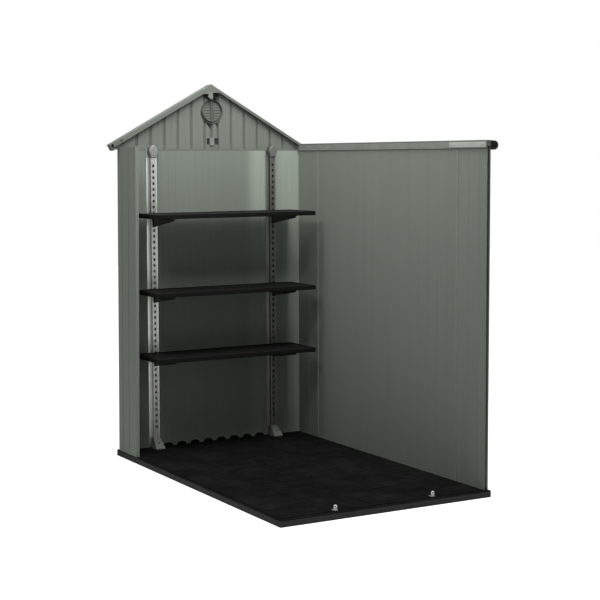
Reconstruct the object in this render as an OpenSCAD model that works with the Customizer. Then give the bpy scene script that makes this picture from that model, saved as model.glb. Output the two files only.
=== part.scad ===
// Plastic garden shed, shown as a cutaway: floor, rear gable wall, full right
// side wall, rear-left corner panel, shelving, and the strips of roof that
// border the open top.  All sizes in millimetres, +Z up, front towards -Y.

/* [Overall] */
// width of the floor (X)
floor_w = 1176; // [900:1:1700]
// depth of the floor (Y)
floor_d = 1836; // [1400:1:2600]
// height of the wall panels' top edge above the ground
wall_top = 1690; // [1400:1:2200]
// thickness of the floor panels
floor_t = 32; // [20:1:60]
// thickness of the wall panels
wall_t = 20; // [14:1:40]
// how far the floor edge stands out past the side walls
floor_lip_x = 5; // [2:1:30]
// how far the floor edge stands out past the rear wall
floor_lip_y = 24; // [4:1:60]
// how far the eave stands out past the side wall
eave_over = 46; // [30:1:100]

/* [Boards and seams] */
// pitch of the moulded boards
board_pitch = 83.6; // [50:0.1:150]
// width of the grooves between the boards of the gable
board_groove = 9; // [4:0.5:20]
// depth of the grooves on the room side of the gable
groove_in = 6; // [2:0.5:8]
// depth of the grooves on the outside faces
groove_out = 4; // [1:0.5:6]
// width of the grooves on the outside faces
groove_out_w = 7; // [3:0.5:20]
// length of each corner panel's leg along the side walls, inside the room
leg_y = 212; // [150:1:400]
// length of each corner panel's leg along the rear wall, inside the room
leg_x = 232; // [150:1:400]
// width of the raised joint strips that cover the panel seams
seam_w = 19; // [10:1:40]
// how far the joint strips stand off the wall
seam_t = 2.5; // [1:0.5:6]

/* [Floor] */
// width of the channel that runs round the floor under the walls
chan_w = 9; // [5:0.5:14]
// depth of that channel
chan_d = 8; // [4:0.5:16]
// pitch of the raised deck ribs across the width
rib_px = 129; // [60:1:250]
// pitch of the raised deck ribs along the depth
rib_py = 120; // [60:1:250]
// width of a deck rib
rib_w = 5; // [3:0.5:12]
// height of a deck rib
rib_h = 1.2; // [0.6:0.1:3]
// height of the lugs that locate the foot of the rear wall
lug_h = 18; // [8:1:40]
// width of a lug
lug_w = 54; // [20:1:70]
// lugs on each side of the centre line
lug_n = 5; // [1:1:8]

/* [Roof edge] */
// how far the gable's low right corner stands above the wall rail
eave_rise = 1; // [1:0.5:40]
// place of the ridge across the width
ridge_x = -15; // [-40:1:40]
// slope of the roof: fall per unit of width
roof_slope = 0.5445; // [0.3:0.0005:0.9]
// thickness of the roof strips, measured vertically
roof_t = 21.5; // [8:0.5:30]
// how far the roof strips stand out over the gable's room face
rake_front = 24; // [4:1:120]
// how far the roof strips reach out past the gable's outer face
rake_back = 6; // [0:1:40]
// half width of the flat collar under the ridge
collar_w = 46; // [20:1:80]
// how far the left drip edge sits above the right one
left_lift = 9; // [0:0.5:20]
// half width of the ridge cap
cap_w = 15; // [8:0.5:30]
// how far the plugs sit inside the ends of the rolled nose
plug_in = 8; // [3:0.5:20]
// height of the top rail along the right wall
rail_h = 22; // [12:1:40]
// sheet thickness of the rolled drip edge
skin = 5; // [2:0.5:8]
// radius of the rolled nose of the drip edge
nose_r = 22; // [14:0.5:28]
// thickness of the rail's lip down the room face
lip_t = 5; // [3:0.5:10]
// length of the cover strip on the front stretch of the rail
cover_l = 292; // [100:1:600]
// thickness of the cover strip
cover_t = 3; // [1:0.5:6]

/* [Vent] */
// outside radius of the gable vent
vent_r = 70; // [40:1:100]
// drop from the underside of the ridge to the centre of the ridge socket
socket_drop = 42; // [30:1:80]
// gap from the centre of the ridge socket down to the rim of the vent
vent_gap = 18; // [18:1:60]
// pitch of the vent louvres
louvre_p = 15; // [10:0.5:30]
// height of a louvre
louvre_h = 11; // [5:0.5:14]
// width of the centre groove below the vent
groove_mid = 13; // [8:0.5:20]
// width of the lock block on the base band
lock_w = 30; // [20:1:50]
// height of the pockets beside the lock block
lock_h = 40; // [20:1:60]
// depth of the pockets and notches in the gable
lock_d = 10; // [4:0.5:14]
// how far the lock block stands proud
lock_proud = 6; // [2:0.5:12]

/* [Shelving] */
// gap between an upright's flange and the joint strip beside it
post_gap = 3; // [1:0.5:20]
// how far the shelves reach out past the centres of the uprights
inset = 114.5; // [60:0.5:150]
// width of an upright's slotted face
post_web = 34; // [24:1:60]
// width of an upright's wall flange
post_flange = 15; // [8:1:30]
// depth of an upright
post_d = 26; // [15:1:50]
// sheet thickness of an upright
post_t = 2; // [1:0.5:4]
// how far the uprights stop below the top of the wall panels
post_drop = 0; // [0:1:300]
// pitch of the slots
slot_p = 32.2; // [20:0.1:50]
// width of a slot
slot_w = 8; // [5:0.5:14]
// height of a slot
slot_h = 15; // [8:0.5:24]
// depth of a shelf (Y)
shelf_d = 288; // [180:1:450]
// thickness of a shelf
shelf_t = 24; // [12:1:40]
// slot that carries the lowest shelf, counted down from the top one
slot_low = 33; // [20:1:40]
// slot that carries the middle shelf
slot_mid = 22; // [12:1:30]
// slot that carries the top shelf
slot_high = 9; // [3:1:14]
// depth of a bracket arm at the upright
arm_h = 50; // [45:1:90]
// how far a bracket stops short of the front edge of its shelf
arm_short = 27.5; // [5:0.5:80]
// slack between the shelves and the uprights
shelf_slack = 1.5; // [0.5:0.5:6]
// height of an upright's foot
foot_h = 58; // [30:1:100]
// reach of an upright's foot out from the wall
foot_l = 84; // [64:1:120]

/* [Door catches] */
// distance of each door catch from the centre line
catch_x = 272; // [150:1:450]
// distance of the catches in from the front end of the wall
catch_in = 22; // [15:1:60]

/* [Hidden] */
$fn = 48;
e = 0.01;
fw = floor_w / 2;
fd = floor_d / 2;
wx = fw - floor_lip_x;            // outer face of the side walls
wy = fd - floor_lip_y;            // outer face of the rear wall
ix = wx - wall_t;                 // room face of the side walls
iy = wy - wall_t;                 // room face of the rear wall
wf = -wy;                         // front end of the right wall
rw = wx + eave_over;
chan_x = wx - wall_t / 2;         // centre of the side channels
chan_y = wy - wall_t / 2;         // centre of the end channels
tongue = chan_w - 1;              // wall tongue, half a millimetre slack a side
tongue_d = chan_d - 1;
seam_y = iy - leg_y;              // where the side legs end
seam_x = ix - leg_x;              // where the rear legs end
rail_top = wall_top + rail_h;
roof_u = rail_top + eave_rise + roof_slope * (ix - ridge_x);   // underside of the roof at the ridge
ridge_z = roof_u + roof_t;
function under(x) = roof_u - roof_slope * abs(x - ridge_x);      // underside of the roof at X
socket_z = roof_u - socket_drop;
vent_z = socket_z - vent_gap - vent_r;
rake_y = iy - rake_front;         // room-side edge of the roof strips
rake_w = rake_front + wall_t + rake_back;
post_y = iy - post_d;             // slotted face of the uprights
post_top = wall_top - post_drop;
slot_top = post_top - 90;         // centre of the top slot
slot_rows = floor((slot_top - floor_t - foot_h - 40) / slot_p);
slot_n = [slot_low, slot_mid, slot_high];
hook_drop = 7.6;                  // a bracket's first slot, below its shelf
post_x = seam_x + seam_w / 2 + post_gap + post_flange + post_web / 2;
shelf_w = 2 * (post_x + inset);
shelf_y1 = post_y - shelf_slack;
shelf_y0 = shelf_y1 - shelf_d;
arm_l = shelf_d + shelf_slack - arm_short;
shelf_z = [for (n = slot_n) slot_top - n * slot_p + hook_drop + shelf_t];
foot_w = post_web + 22;           // width of an upright's foot at the deck
rib_nx = floor((chan_x - chan_w / 2 - 10 - rib_w / 2) / rib_px - 0.5);
rib_ny = floor((chan_y - chan_w / 2 - 10 - rib_w / 2) / rib_py);
board_nx = floor((wx - 8) / board_pitch + 0.5);
board_ny = floor(wy / board_pitch) + 1;
gable_nx = floor((ix - 40) / board_pitch + 0.5);
lug_base = 1;                     // the lugs and ribs start this far inside the deck
col_wall = [0.40, 0.43, 0.40];
col_trim = [0.50, 0.53, 0.50];
col_black = [0.05, 0.05, 0.05];
col_steel = [0.66, 0.67, 0.66];
col_grey = [0.60, 0.61, 0.59];

// ---------- floor ----------
// outline of half the floor with its two outer corners rounded
module floor_outline(r = 9)
{
  translate([-fw, 0]) square([2 * fw, fd - r]);
  translate([-fw + r, 0]) square([2 * (fw - r), fd]);
  for (s = [-1, 1]) translate([s * (fw - r), fd - r]) circle(r);
}

// half a floor: from the joint at Y = 0 out to one end
module floor_half(lugs)
{
  difference() {
    union() {
      linear_extrude(floor_t) floor_outline();
      // deck ribs along the depth
      for (k = [0:rib_nx]) for (s = [-1, 1])
        translate([s * (k + 0.5) * rib_px - rib_w / 2, 4, floor_t - 1]) cube([rib_w, chan_y - chan_w - 10, rib_h + 1]);
      // deck ribs across the width
      for (k = [1:rib_ny])
        translate([2 - ix, k * rib_py - rib_w / 2, floor_t - 1]) cube([2 * ix - 4, rib_w, rib_h + 1]);
      if (lugs) wall_lugs();
      if (lugs) foot_pads();
    }
    // channels under the walls
    for (s = [-1, 1])
      translate([s * chan_x - chan_w / 2, -e, floor_t - chan_d]) cube([chan_w, chan_y + chan_w / 2, chan_d + 2]);
    translate([-chan_x, chan_y - chan_w / 2, floor_t - chan_d]) cube([2 * chan_x, chan_w, chan_d + 2]);
    // fascia notches in line with the deck ribs
    for (k = [0:rib_nx]) for (s = [-1, 1])
      translate([s * (k + 0.5) * rib_px - 1.5, fd - 1.2, 5]) cube([3, 4, floor_t - 10]);
    // shallow drainage grooves underneath
    for (k = [0:rib_nx]) for (s = [-1, 1])
      translate([s * (k + 0.5) * rib_px - 4, 30, -1]) cube([8, fd - 60, 4]);
    for (k = [1:rib_ny])
      translate([-fw + 30, k * rib_py - 4, -1]) cube([2 * fw - 60, 8, 4]);
  }
}

// lugs that stand on the deck against the foot of the rear wall
module wall_lugs()
{
  for (k = [0:lug_n - 1]) for (s = [-1, 1]) {
    lx = (k + 0.5) * board_pitch;
    if (abs(lx - post_x) > (lug_w + foot_w) / 2 + 2 && lx + lug_w / 2 < ix)
      translate([s * lx, iy - 0.3, floor_t - lug_base])
        rotate([90, 0, 0])
          linear_extrude(8)
            polygon([[-lug_w / 2, 0], [lug_w / 2, 0], [lug_w / 2 - 7, lug_h + lug_base], [7 - lug_w / 2, lug_h + lug_base]]);
  }
}

// raised pads that the feet of the uprights stand on
module foot_pads()
{
  for (s = [-1, 1])
    translate([s * post_x - foot_w / 2 - 2, iy - foot_l - 2, floor_t - lug_base]) cube([foot_w + 4, foot_l - 2, rib_h + lug_base]);
}

module floor_rear_panel() { color(col_black) floor_half(true); }
module floor_front_panel() { color(col_black) mirror([0, 1, 0]) floor_half(false); }

// ---------- walls ----------
// grooves of the outer face of a wall running along X, between x0 and x1
module grooves_x(x0, x1, z0, z1)
{
  for (k = [-board_nx:board_nx - 1]) {
    gx = (k + 0.5) * board_pitch;
    if (gx > x0 + 8 && gx < x1 - 8)
      translate([gx - groove_out_w / 2, wy - groove_out, z0]) cube([groove_out_w, groove_out + 1, z1 - z0]);
  }
}

// grooves of the outer face of a wall running along Y, on side s, between y0 and y1
module grooves_y(s, y0, y1)
{
  for (k = [-board_ny:board_ny]) {
    gy = k * board_pitch;
    if (gy > y0 + 8 && gy < y1 - 8)
      translate([s > 0 ? wx - groove_out : -wx - 1, gy - groove_out_w / 2, floor_t + 6])
        cube([groove_out + 1, groove_out_w, wall_top - floor_t - 12]);
  }
}

// flat leg along the rear wall with its tongue in the floor channel
module leg_rear(x0, x1, t0, t1)
{
  translate([x0, iy, floor_t]) cube([x1 - x0, wall_t, wall_top - floor_t]);
  translate([t0, chan_y - tongue / 2, floor_t - tongue_d]) cube([t1 - t0, tongue, tongue_d + 1]);
}

// flat leg along a side wall, side s
module leg_side(s, y0, y1, t0, t1)
{
  translate([s > 0 ? ix : -wx, y0, floor_t]) cube([wall_t, y1 - y0, wall_top - floor_t]);
  translate([s * chan_x - tongue / 2, t0, floor_t - tongue_d]) cube([tongue, t1 - t0, tongue_d + 1]);
}

module rear_left_corner_panel()
{
  color(col_wall)
    difference() {
      union() {
        leg_rear(-wx, -seam_x, -chan_x, -seam_x);
        leg_side(-1, seam_y, wy, seam_y, chan_y + tongue / 2);
      }
      grooves_x(-wx, -seam_x, floor_t + 6, wall_top - 6);
      grooves_y(-1, seam_y, wy);
    }
}

module rear_right_corner_panel()
{
  color(col_wall)
    difference() {
      union() {
        leg_rear(seam_x, wx, seam_x, chan_x);
        leg_side(1, seam_y, wy, seam_y, chan_y + tongue / 2);
      }
      grooves_x(seam_x, wx, floor_t + 6, wall_top - 6);
      grooves_y(1, seam_y, wy);
    }
}

module rear_middle_panel()
{
  color(col_wall)
    difference() {
      leg_rear(-seam_x, seam_x, -seam_x, seam_x);
      grooves_x(-seam_x, seam_x, floor_t + 6, wall_top - 6);
    }
}

module right_middle_panel()
{
  color(col_wall)
    difference() {
      leg_side(1, -seam_y, seam_y, -seam_y, seam_y);
      grooves_y(1, -seam_y, seam_y);
    }
}

module right_front_panel()
{
  color(col_wall)
    difference() {
      leg_side(1, wf, -seam_y, -chan_y, -seam_y);
      grooves_y(1, wf, -seam_y);
      // rebate in the front edge that the missing front wall would fill
      translate([ix + 3, wf - 1, floor_t - 20]) cube([11, 13, wall_top - floor_t + 40]);
    }
}

// raised joint strips over the seams, on the room side
module seam_x_strip(s)
{
  translate([s > 0 ? seam_x - seam_w / 2 : -seam_x - seam_w / 2, iy - seam_t, floor_t + lug_h + 2])
    cube([seam_w, seam_t, wall_top - floor_t - lug_h - 6]);
}

module seam_y_strip(s)
{
  translate([ix - seam_t, s * seam_y - seam_w / 2, floor_t + 1])
    cube([seam_t, seam_w, wall_top - floor_t - 14]);
}

module rear_left_seam_strip() { color(col_trim) seam_x_strip(-1); }
module rear_right_seam_strip() { color(col_trim) seam_x_strip(1); }
module right_rear_seam_strip() { color(col_trim) seam_y_strip(1); }
module right_front_seam_strip() { color(col_trim) seam_y_strip(-1); }

// ---------- gable ----------
band_top = wall_top + 24;

module gable_panel()
{
  color(col_wall)
    difference() {
      translate([0, wy, 0])
        rotate([90, 0, 0])
          linear_extrude(wall_t)
            polygon([[-wx, wall_top], [wx, wall_top], [wx, rail_top], [ix, rail_top], [ix, under(ix)],
                     [ridge_x, roof_u], [-ix, under(-ix)], [-ix, rail_top], [-wx, rail_top]]);
      // room-side grooves, from the base band up to the roof
      for (k = [-gable_nx:gable_nx - 1])
        translate([(k + 0.5) * board_pitch - board_groove / 2, iy - 1, band_top]) cube([board_groove, groove_in + 1, 400]);
      // outer grooves
      for (k = [-board_nx:board_nx - 1])
        translate([(k + 0.5) * board_pitch - groove_out_w / 2, wy - groove_out, wall_top + 8]) cube([groove_out_w, groove_out + 1, 400]);
      // wider groove on the centre line, from the lock block up to the vent
      translate([-groove_mid / 2, iy - 1, band_top + lock_h - 4]) cube([groove_mid, groove_in + 1, vent_z - band_top - lock_h - 20]);
      // pockets beside the lock block
      for (s = [-1, 1])
        translate([s > 0 ? lock_w / 2 : -board_pitch / 2, iy - 1, band_top - 3]) cube([(board_pitch - lock_w) / 2, lock_d + 1, lock_h]);
      // notches under the vent
      translate([-34, iy - 1, vent_z - vent_r - 28]) cube([24, lock_d + 1, 40]);
      translate([22, iy - 1, vent_z - vent_r - 12]) cube([20, lock_d + 1, 24]);
      // fine shadow line above the wall joint
      translate([-wx - 1, iy - 1, wall_top - 1]) cube([2 * wx + 2, 2.5, 4]);
      // opening for the vent
      translate([0, wy + 1, vent_z]) rotate([90, 0, 0]) cylinder(r = vent_r - 10, h = wall_t + 2);
    }
}

// round louvred vent: flange on the room side, barrel through the gable
module gable_vent()
{
  br = vent_r - 10.3;
  louvre_n = floor((vent_r - 10) / louvre_p);
  color(col_trim)
    translate([0, 0, vent_z])
      rotate([90, 0, 0]) {
        // flange ring against the room face
        translate([0, 0, -iy]) difference() {
          cylinder(r = vent_r, h = 8);
          translate([0, 0, -1]) cylinder(r = vent_r - 15, h = 10);
        }
        // barrel
        translate([0, 0, -wy - 2]) difference() {
          cylinder(r = br, h = wall_t + 4);
          translate([0, 0, -1]) cylinder(r = vent_r - 15, h = wall_t + 6);
        }
        // plate that closes the barrel behind the louvres
        translate([0, 0, -wy]) cylinder(r = vent_r - 14, h = 3);
        // louvres, clipped to the round opening
        intersection() {
          translate([0, 0, -wy]) cylinder(r = vent_r - 14, h = wall_t + 6);
          union() {
            for (k = [-louvre_n:louvre_n])
              translate([-vent_r, k * louvre_p - louvre_h / 2, -iy - 2]) cube([2 * vent_r, louvre_h, 7]);
            for (s = [-1, 1])
              translate([s * 7 - 2, -vent_r, -wy + 2]) cube([4, 2 * vent_r, wall_t + 4]);
          }
        }
      }
}

// socket under the ridge: a claw with two curved clamps beside it
module ridge_socket()
{
  cz = socket_z;
  color(col_trim)
    translate([ridge_x + 8, 0, 0]) {
      translate([-15, iy - 18, vent_z + vent_r + 1]) cube([30, 18, roof_u - collar_w * roof_slope - vent_z - vent_r - 1.2]);
      for (s = [-1, 1])
        difference() {
          translate([s * 24, iy, cz - 1]) rotate([90, 0, 0]) cylinder(r = 16, h = 14);
          translate([s * 27, iy + 1, cz - 2]) rotate([90, 0, 0]) cylinder(r = 11, h = 30);
          translate([s > 0 ? 27 : -27 - 30, iy - 31, cz - 30]) cube([30, 40, 22]);
        }
    }
}

// lock block that stands between the two pockets above the base band
module gable_lock_block()
{
  color(col_trim)
    difference() {
      translate([-lock_w / 2 + 1, iy - lock_proud, band_top - 4]) cube([lock_w - 2, lock_proud, lock_h + 4]);
      translate([-4, iy - lock_proud - 1, band_top + 4]) cube([8, 3, lock_h - 12]);
    }
}

// ---------- roof edge ----------
// strip of roof over one slope, side s, seen along Y
module rake_profile(s)
{
  x0 = ridge_x + s * cap_w;
  run = (under(ix) + roof_t - eave_in(1)) / (roof_slope - (eave_in(1) - nose_z - nose_r) / (nose_x - ix));
  if (s > 0)
    polygon([[x0, under(x0) + roof_t], [ix + run, under(ix) + roof_t - roof_slope * run], [ix, eave_in(1)], [ix, under(ix)], [x0, under(x0)]]);
  else
    polygon([[x0, under(x0) + roof_t], [-ix, under(-ix) + roof_t], [-ix, under(-ix)], [x0, under(x0)]]);
}

module rake_strip(s)
{
  color(col_trim)
    translate([0, wy + rake_back, 0]) rotate([90, 0, 0]) linear_extrude(rake_w) rake_profile(s);
}

module rake_strip_left() { rake_strip(-1); }
module rake_strip_right() { rake_strip(1); }

// cap over the ridge, and the flat collar below it in front of the gable
module ridge_cap()
{
  color(col_trim) {
    translate([ridge_x, wy + rake_back + 2, 0]) rotate([90, 0, 0]) linear_extrude(rake_w + 4)
      polygon([[-cap_w, roof_u - roof_slope * cap_w], [0, roof_u], [cap_w, roof_u - roof_slope * cap_w],
               [cap_w, ridge_z - roof_slope * cap_w + 3], [cap_w - 5, ridge_z + 1.5], [5 - cap_w, ridge_z + 1.5], [-cap_w, ridge_z - roof_slope * cap_w + 3]]);
    translate([ridge_x, iy, 0]) rotate([90, 0, 0]) linear_extrude(rake_front - 6)
      polygon([[-collar_w, roof_u - roof_slope * collar_w], [collar_w, roof_u - roof_slope * collar_w], [0, roof_u]]);
  }
}

// drip edge: sloping top skin over the wall that rolls into a hooked nose, one sheet
nose_x = rw - nose_r;
nose_z = rail_top - nose_r + 5;
function eave_in(s) = s > 0 ? rail_top + 7.5 : under(-ix) + roof_t - 4;
module eave_profile(s)
{
  nz = s > 0 ? nose_z : nose_z + left_lift;
  outer = [for (a = [90:-15:-90]) [s * (nose_x + nose_r * cos(a)), nz + nose_r * sin(a)]];
  inner = [for (a = [-90:15:90]) [s * (nose_x + (nose_r - skin) * cos(a)), nz + (nose_r - skin) * sin(a)]];
  polygon(concat([[s * ix, rail_top], [s * ix, eave_in(s)]], outer,
                 [[s * (nose_x - 9), nz - nose_r], [s * (nose_x - 9), nz - nose_r + skin]], inner,
                 [[s * (wx + 5), rail_top + 2], [s * (wx + 5), rail_top]]));
}

module eave_run(s, y0, y1)
{
  color(col_trim) {
    translate([0, y1, 0]) rotate([90, 0, 0]) linear_extrude(y1 - y0) eave_profile(s);
    // plugs that close the nose a little inside both ends
    for (y = [y0 + plug_in + 4, y1 - plug_in])
      translate([s * nose_x, y, s > 0 ? nose_z : nose_z + left_lift]) rotate([90, 0, 0]) cylinder(r = nose_r - 2, h = 4);
  }
}

module eave_profile_right() { eave_run(1, wf, wy); }
module eave_end_left() { eave_run(-1, rake_y, wy + rake_back); }

// rail along the top of the right wall, with a lip down its room face
module wall_top_rail()
{
  color(col_trim) {
    translate([ix - lip_t, wf, wall_top]) cube([wall_t + lip_t, iy - wf, rail_h]);
    translate([ix - lip_t, wf, wall_top - 10]) cube([lip_t, iy - wf, 10.5]);
  }
}

// pale cover strip clipped on the front stretch of the rail
module rail_cover_strip()
{
  color(col_steel)
    translate([ix - lip_t - cover_t, wf + 2, wall_top - 5]) cube([cover_t, cover_l, rail_h + 4]);
}

// ---------- shelving ----------
// hat section of an upright, open to the wall
module hat_section(slack = 0)
{
  h = post_web / 2;
  polygon([[-h - post_flange, 0], [-h + post_t + slack, 0], [-h + post_t + slack, -post_d + post_t + slack],
           [h - post_t - slack, -post_d + post_t + slack], [h - post_t - slack, 0], [h + post_flange, 0],
           [h + post_flange, -post_t], [h, -post_t], [h, -post_d], [-h, -post_d], [-h, -post_t], [-h - post_flange, -post_t]]);
}

module upright(s)
{
  color(col_steel)
    difference() {
      translate([s * post_x, iy, floor_t + 4]) linear_extrude(post_top - floor_t - 4) hat_section();
      for (k = [0:slot_rows])
        translate([s * post_x, post_y - 1, slot_top - k * slot_p]) {
          translate([-slot_w / 2, 0, (slot_w - slot_h) / 2]) cube([slot_w, post_t + 3, slot_h - slot_w]);
          for (q = [-1, 1]) translate([0, 0, q * (slot_h - slot_w) / 2]) rotate([-90, 0, 0]) cylinder(r = slot_w / 2, h = post_t + 3);
        }
    }
}

module upright_left() { upright(-1); }
module upright_right() { upright(1); }

// moulded cap over the top of an upright
module upright_cap(s)
{
  w = post_web + 18;
  z0 = post_top - 46;
  z1 = post_top + 22;
  color(col_grey)
    difference() {
      translate([s * post_x, iy, 0]) rotate([90, 0, 0]) linear_extrude(post_d + 12) {
        translate([-w / 2, z0 + 9]) square([w, z1 - z0 - 9 - w / 2]);
        translate([9 - w / 2, z0]) square([w - 18, 12]);
        for (q = [-1, 1]) translate([q * (w / 2 - 9), z0 + 9]) circle(9);
        translate([0, z1 - w / 2]) circle(w / 2);
      }
      // socket for the upright, half a millimetre slack
      translate([s * post_x - post_web / 2 - 0.5, iy - post_d - 0.5, z0 - 1]) cube([post_web + 1, post_d + 1, post_top - z0 + 1.5]);
      translate([s * post_x - post_web / 2 - post_flange, iy - post_t - 0.5, z0 - 1])
        cube([post_web + 2 * post_flange, post_t + 1, post_top - z0 + 1.5]);
      // screw recess in the face
      translate([s * post_x, iy - post_d - 9, z0 + 12]) rotate([90, 0, 0]) cylinder(r = 5, h = 10);
      // chamfer of the front top edge
      translate([s * post_x - 60, iy - post_d - 12, z1]) rotate([45, 0, 0]) translate([0, -8, -8]) cube([120, 16, 16]);
    }
}

module upright_cap_left() { upright_cap(-1); }
module upright_cap_right() { upright_cap(1); }

// wedge-shaped foot that ties an upright to the deck
module upright_foot(s)
{
  wt = post_web + 8;
  wb = foot_w;
  dz = foot_h;
  out = foot_l;
  color(col_grey)
    difference() {
      intersection() {
        translate([s * post_x - wb, 0, 0]) rotate([90, 0, 90]) linear_extrude(2 * wb)
          polygon([[iy, floor_t + rib_h], [iy - out, floor_t + rib_h], [iy - out, floor_t + 7], [iy - post_d - 6, floor_t + dz], [iy, floor_t + dz]]);
        translate([s * post_x, iy, 0]) rotate([90, 0, 0]) linear_extrude(out + 1)
          polygon([[-wb / 2, floor_t], [wb / 2, floor_t], [wb / 2, floor_t + 8], [wt / 2, floor_t + dz], [-wt / 2, floor_t + dz], [-wb / 2, floor_t + 8]]);
      }
      // socket for the upright
      translate([s * post_x - post_web / 2 - 0.4, iy - post_d - 0.4, floor_t + 4]) cube([post_web + 0.8, post_d + 1, dz + 10]);
      translate([s * post_x - post_web / 2 - post_flange - 1, iy - post_t - 0.4, floor_t + 4]) cube([post_web + 2 * post_flange + 2, post_t + 1, dz + 10]);
      // fixing hole down through the toe
      translate([s * post_x, iy - 58, floor_t - 2]) cylinder(r = 5, h = 80);
    }
}

module upright_foot_left() { upright_foot(-1); }
module upright_foot_right() { upright_foot(1); }

// shelf board with a rim and ribs below
module shelf(k)
{
  z = shelf_z[k];
  cell = (shelf_w - 20) / 7;
  color(col_black)
    difference() {
      translate([-shelf_w / 2, shelf_y0, z - shelf_t]) cube([shelf_w, shelf_d, shelf_t]);
      for (i = [0:6]) for (j = [0:1])
        if (abs(abs(-shelf_w / 2 + 10 + (i + 0.5) * cell) - post_x) > cell / 2 + 14)
          translate([-shelf_w / 2 + 14 + i * cell, shelf_y0 + 14 + j * (shelf_d - 18) / 2, z - shelf_t - 1])
            cube([cell - 8, (shelf_d - 38) / 2, shelf_t - 4]);
    }
}

module shelf_bottom() { shelf(0); }
module shelf_middle() { shelf(1); }
module shelf_top() { shelf(2); }

// bracket: tapering arm, top flange, and two hooks through the slots of the upright
module bracket(k, s)
{
  z = shelf_z[k] - shelf_t;
  zs = z - hook_drop;   // centre of the first slot under the shelf
  color(col_black)
    translate([s * post_x, 0, 0]) {
      difference() {
        translate([-3, 0, 0]) rotate([90, 0, 90]) linear_extrude(6)
          polygon([[post_y - 0.3, z - 0.2], [post_y - 0.3, z - arm_h - 4], [post_y - 22, z - arm_h], [post_y - arm_l, z - 12], [post_y - arm_l, z - 0.2]]);
        translate([-8, post_y - arm_l + 16, z - 8]) rotate([0, 90, 0]) cylinder(r = 3, h = 16);
      }
      translate([-11, post_y - arm_l, z - 3.2]) cube([22, arm_l - 0.3, 3]);
      // back plate against the slotted face
      translate([-9, post_y - 3.3, z - arm_h - 4]) cube([18, 3, arm_h + 3.8]);
      for (q = [0, 1]) if (zs - q * slot_p - 6 > z - arm_h - 4) {
        translate([-3, post_y - 1, zs - q * slot_p - 4]) cube([6, post_t + 4.6, 9]);
        translate([-3, post_y + post_t + 0.6, zs - q * slot_p - 12]) cube([6, 3, 12]);
      }
    }
}

module bracket_bottom_left() { bracket(0, -1); }
module bracket_bottom_right() { bracket(0, 1); }
module bracket_middle_left() { bracket(1, -1); }
module bracket_middle_right() { bracket(1, 1); }
module bracket_top_left() { bracket(2, -1); }
module bracket_top_right() { bracket(2, 1); }

// ---------- door catches on the front of the floor ----------
module door_catch(s)
{
  color(col_steel)
    translate([s * catch_x, wf + catch_in, floor_t]) {
      translate([-12, -8, 0.0]) cube([24, 26, 2.5]);
      difference() {
        translate([-9, -1.5, 0]) cube([18, 3, 27]);
        translate([0, 4, 17]) rotate([90, 0, 0]) cylinder(r = 4, h = 8);
      }
    }
}

module door_catch_left() { door_catch(-1); }
module door_catch_right() { door_catch(1); }

floor_front_panel();
floor_rear_panel();
rear_left_corner_panel();
rear_middle_panel();
rear_right_corner_panel();
right_middle_panel();
right_front_panel();
rear_left_seam_strip();
rear_right_seam_strip();
right_rear_seam_strip();
right_front_seam_strip();
gable_panel();
gable_vent();
ridge_socket();
gable_lock_block();
rake_strip_left();
rake_strip_right();
ridge_cap();
eave_profile_right();
eave_end_left();
wall_top_rail();
rail_cover_strip();
upright_left();
upright_right();
upright_cap_left();
upright_cap_right();
upright_foot_left();
upright_foot_right();
shelf_bottom();
shelf_middle();
shelf_top();
bracket_bottom_left();
bracket_bottom_right();
bracket_middle_left();
bracket_middle_right();
bracket_top_left();
bracket_top_right();
door_catch_left();
door_catch_right();
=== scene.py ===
"""Looks of a small gabled plastic shed, cut away to show its floor, walls, uprights and shelves."""

import logging
import math
from dataclasses import dataclass
from enum import Enum
from typing import Callable, Iterable, Optional, Sequence

import bmesh
import bpy
from mathutils import Matrix, Vector


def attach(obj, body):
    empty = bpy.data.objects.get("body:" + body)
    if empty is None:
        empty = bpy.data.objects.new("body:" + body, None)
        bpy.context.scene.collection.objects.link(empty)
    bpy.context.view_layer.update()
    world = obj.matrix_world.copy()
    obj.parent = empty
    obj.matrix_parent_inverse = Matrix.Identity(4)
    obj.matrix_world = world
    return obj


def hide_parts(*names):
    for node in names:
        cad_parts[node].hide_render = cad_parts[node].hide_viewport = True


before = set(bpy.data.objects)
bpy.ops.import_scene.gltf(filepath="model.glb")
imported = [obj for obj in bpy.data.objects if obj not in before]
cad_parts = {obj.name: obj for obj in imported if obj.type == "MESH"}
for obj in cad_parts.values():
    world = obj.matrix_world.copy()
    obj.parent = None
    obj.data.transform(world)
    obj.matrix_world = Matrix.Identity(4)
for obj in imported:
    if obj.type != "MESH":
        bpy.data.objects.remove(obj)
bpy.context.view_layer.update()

LOG = logging.getLogger("shed")
BODY = "root"
PIECES: list = []  # every finished piece, in the order of making
GAP = 0.0003  # clearance that keeps neighbouring pieces apart
TINY = 1e-4  # tolerance when a point is compared with a face
WELD = 1e-6  # points closer than this become one
SMOOTH = math.radians(32)  # faces that meet at less than this shade as one
SHARP = math.radians(40)  # edges sharper than this get rounded
FACING = 0.9  # a face whose normal has this much of an axis faces along it
Point = Sequence[float]


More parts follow.
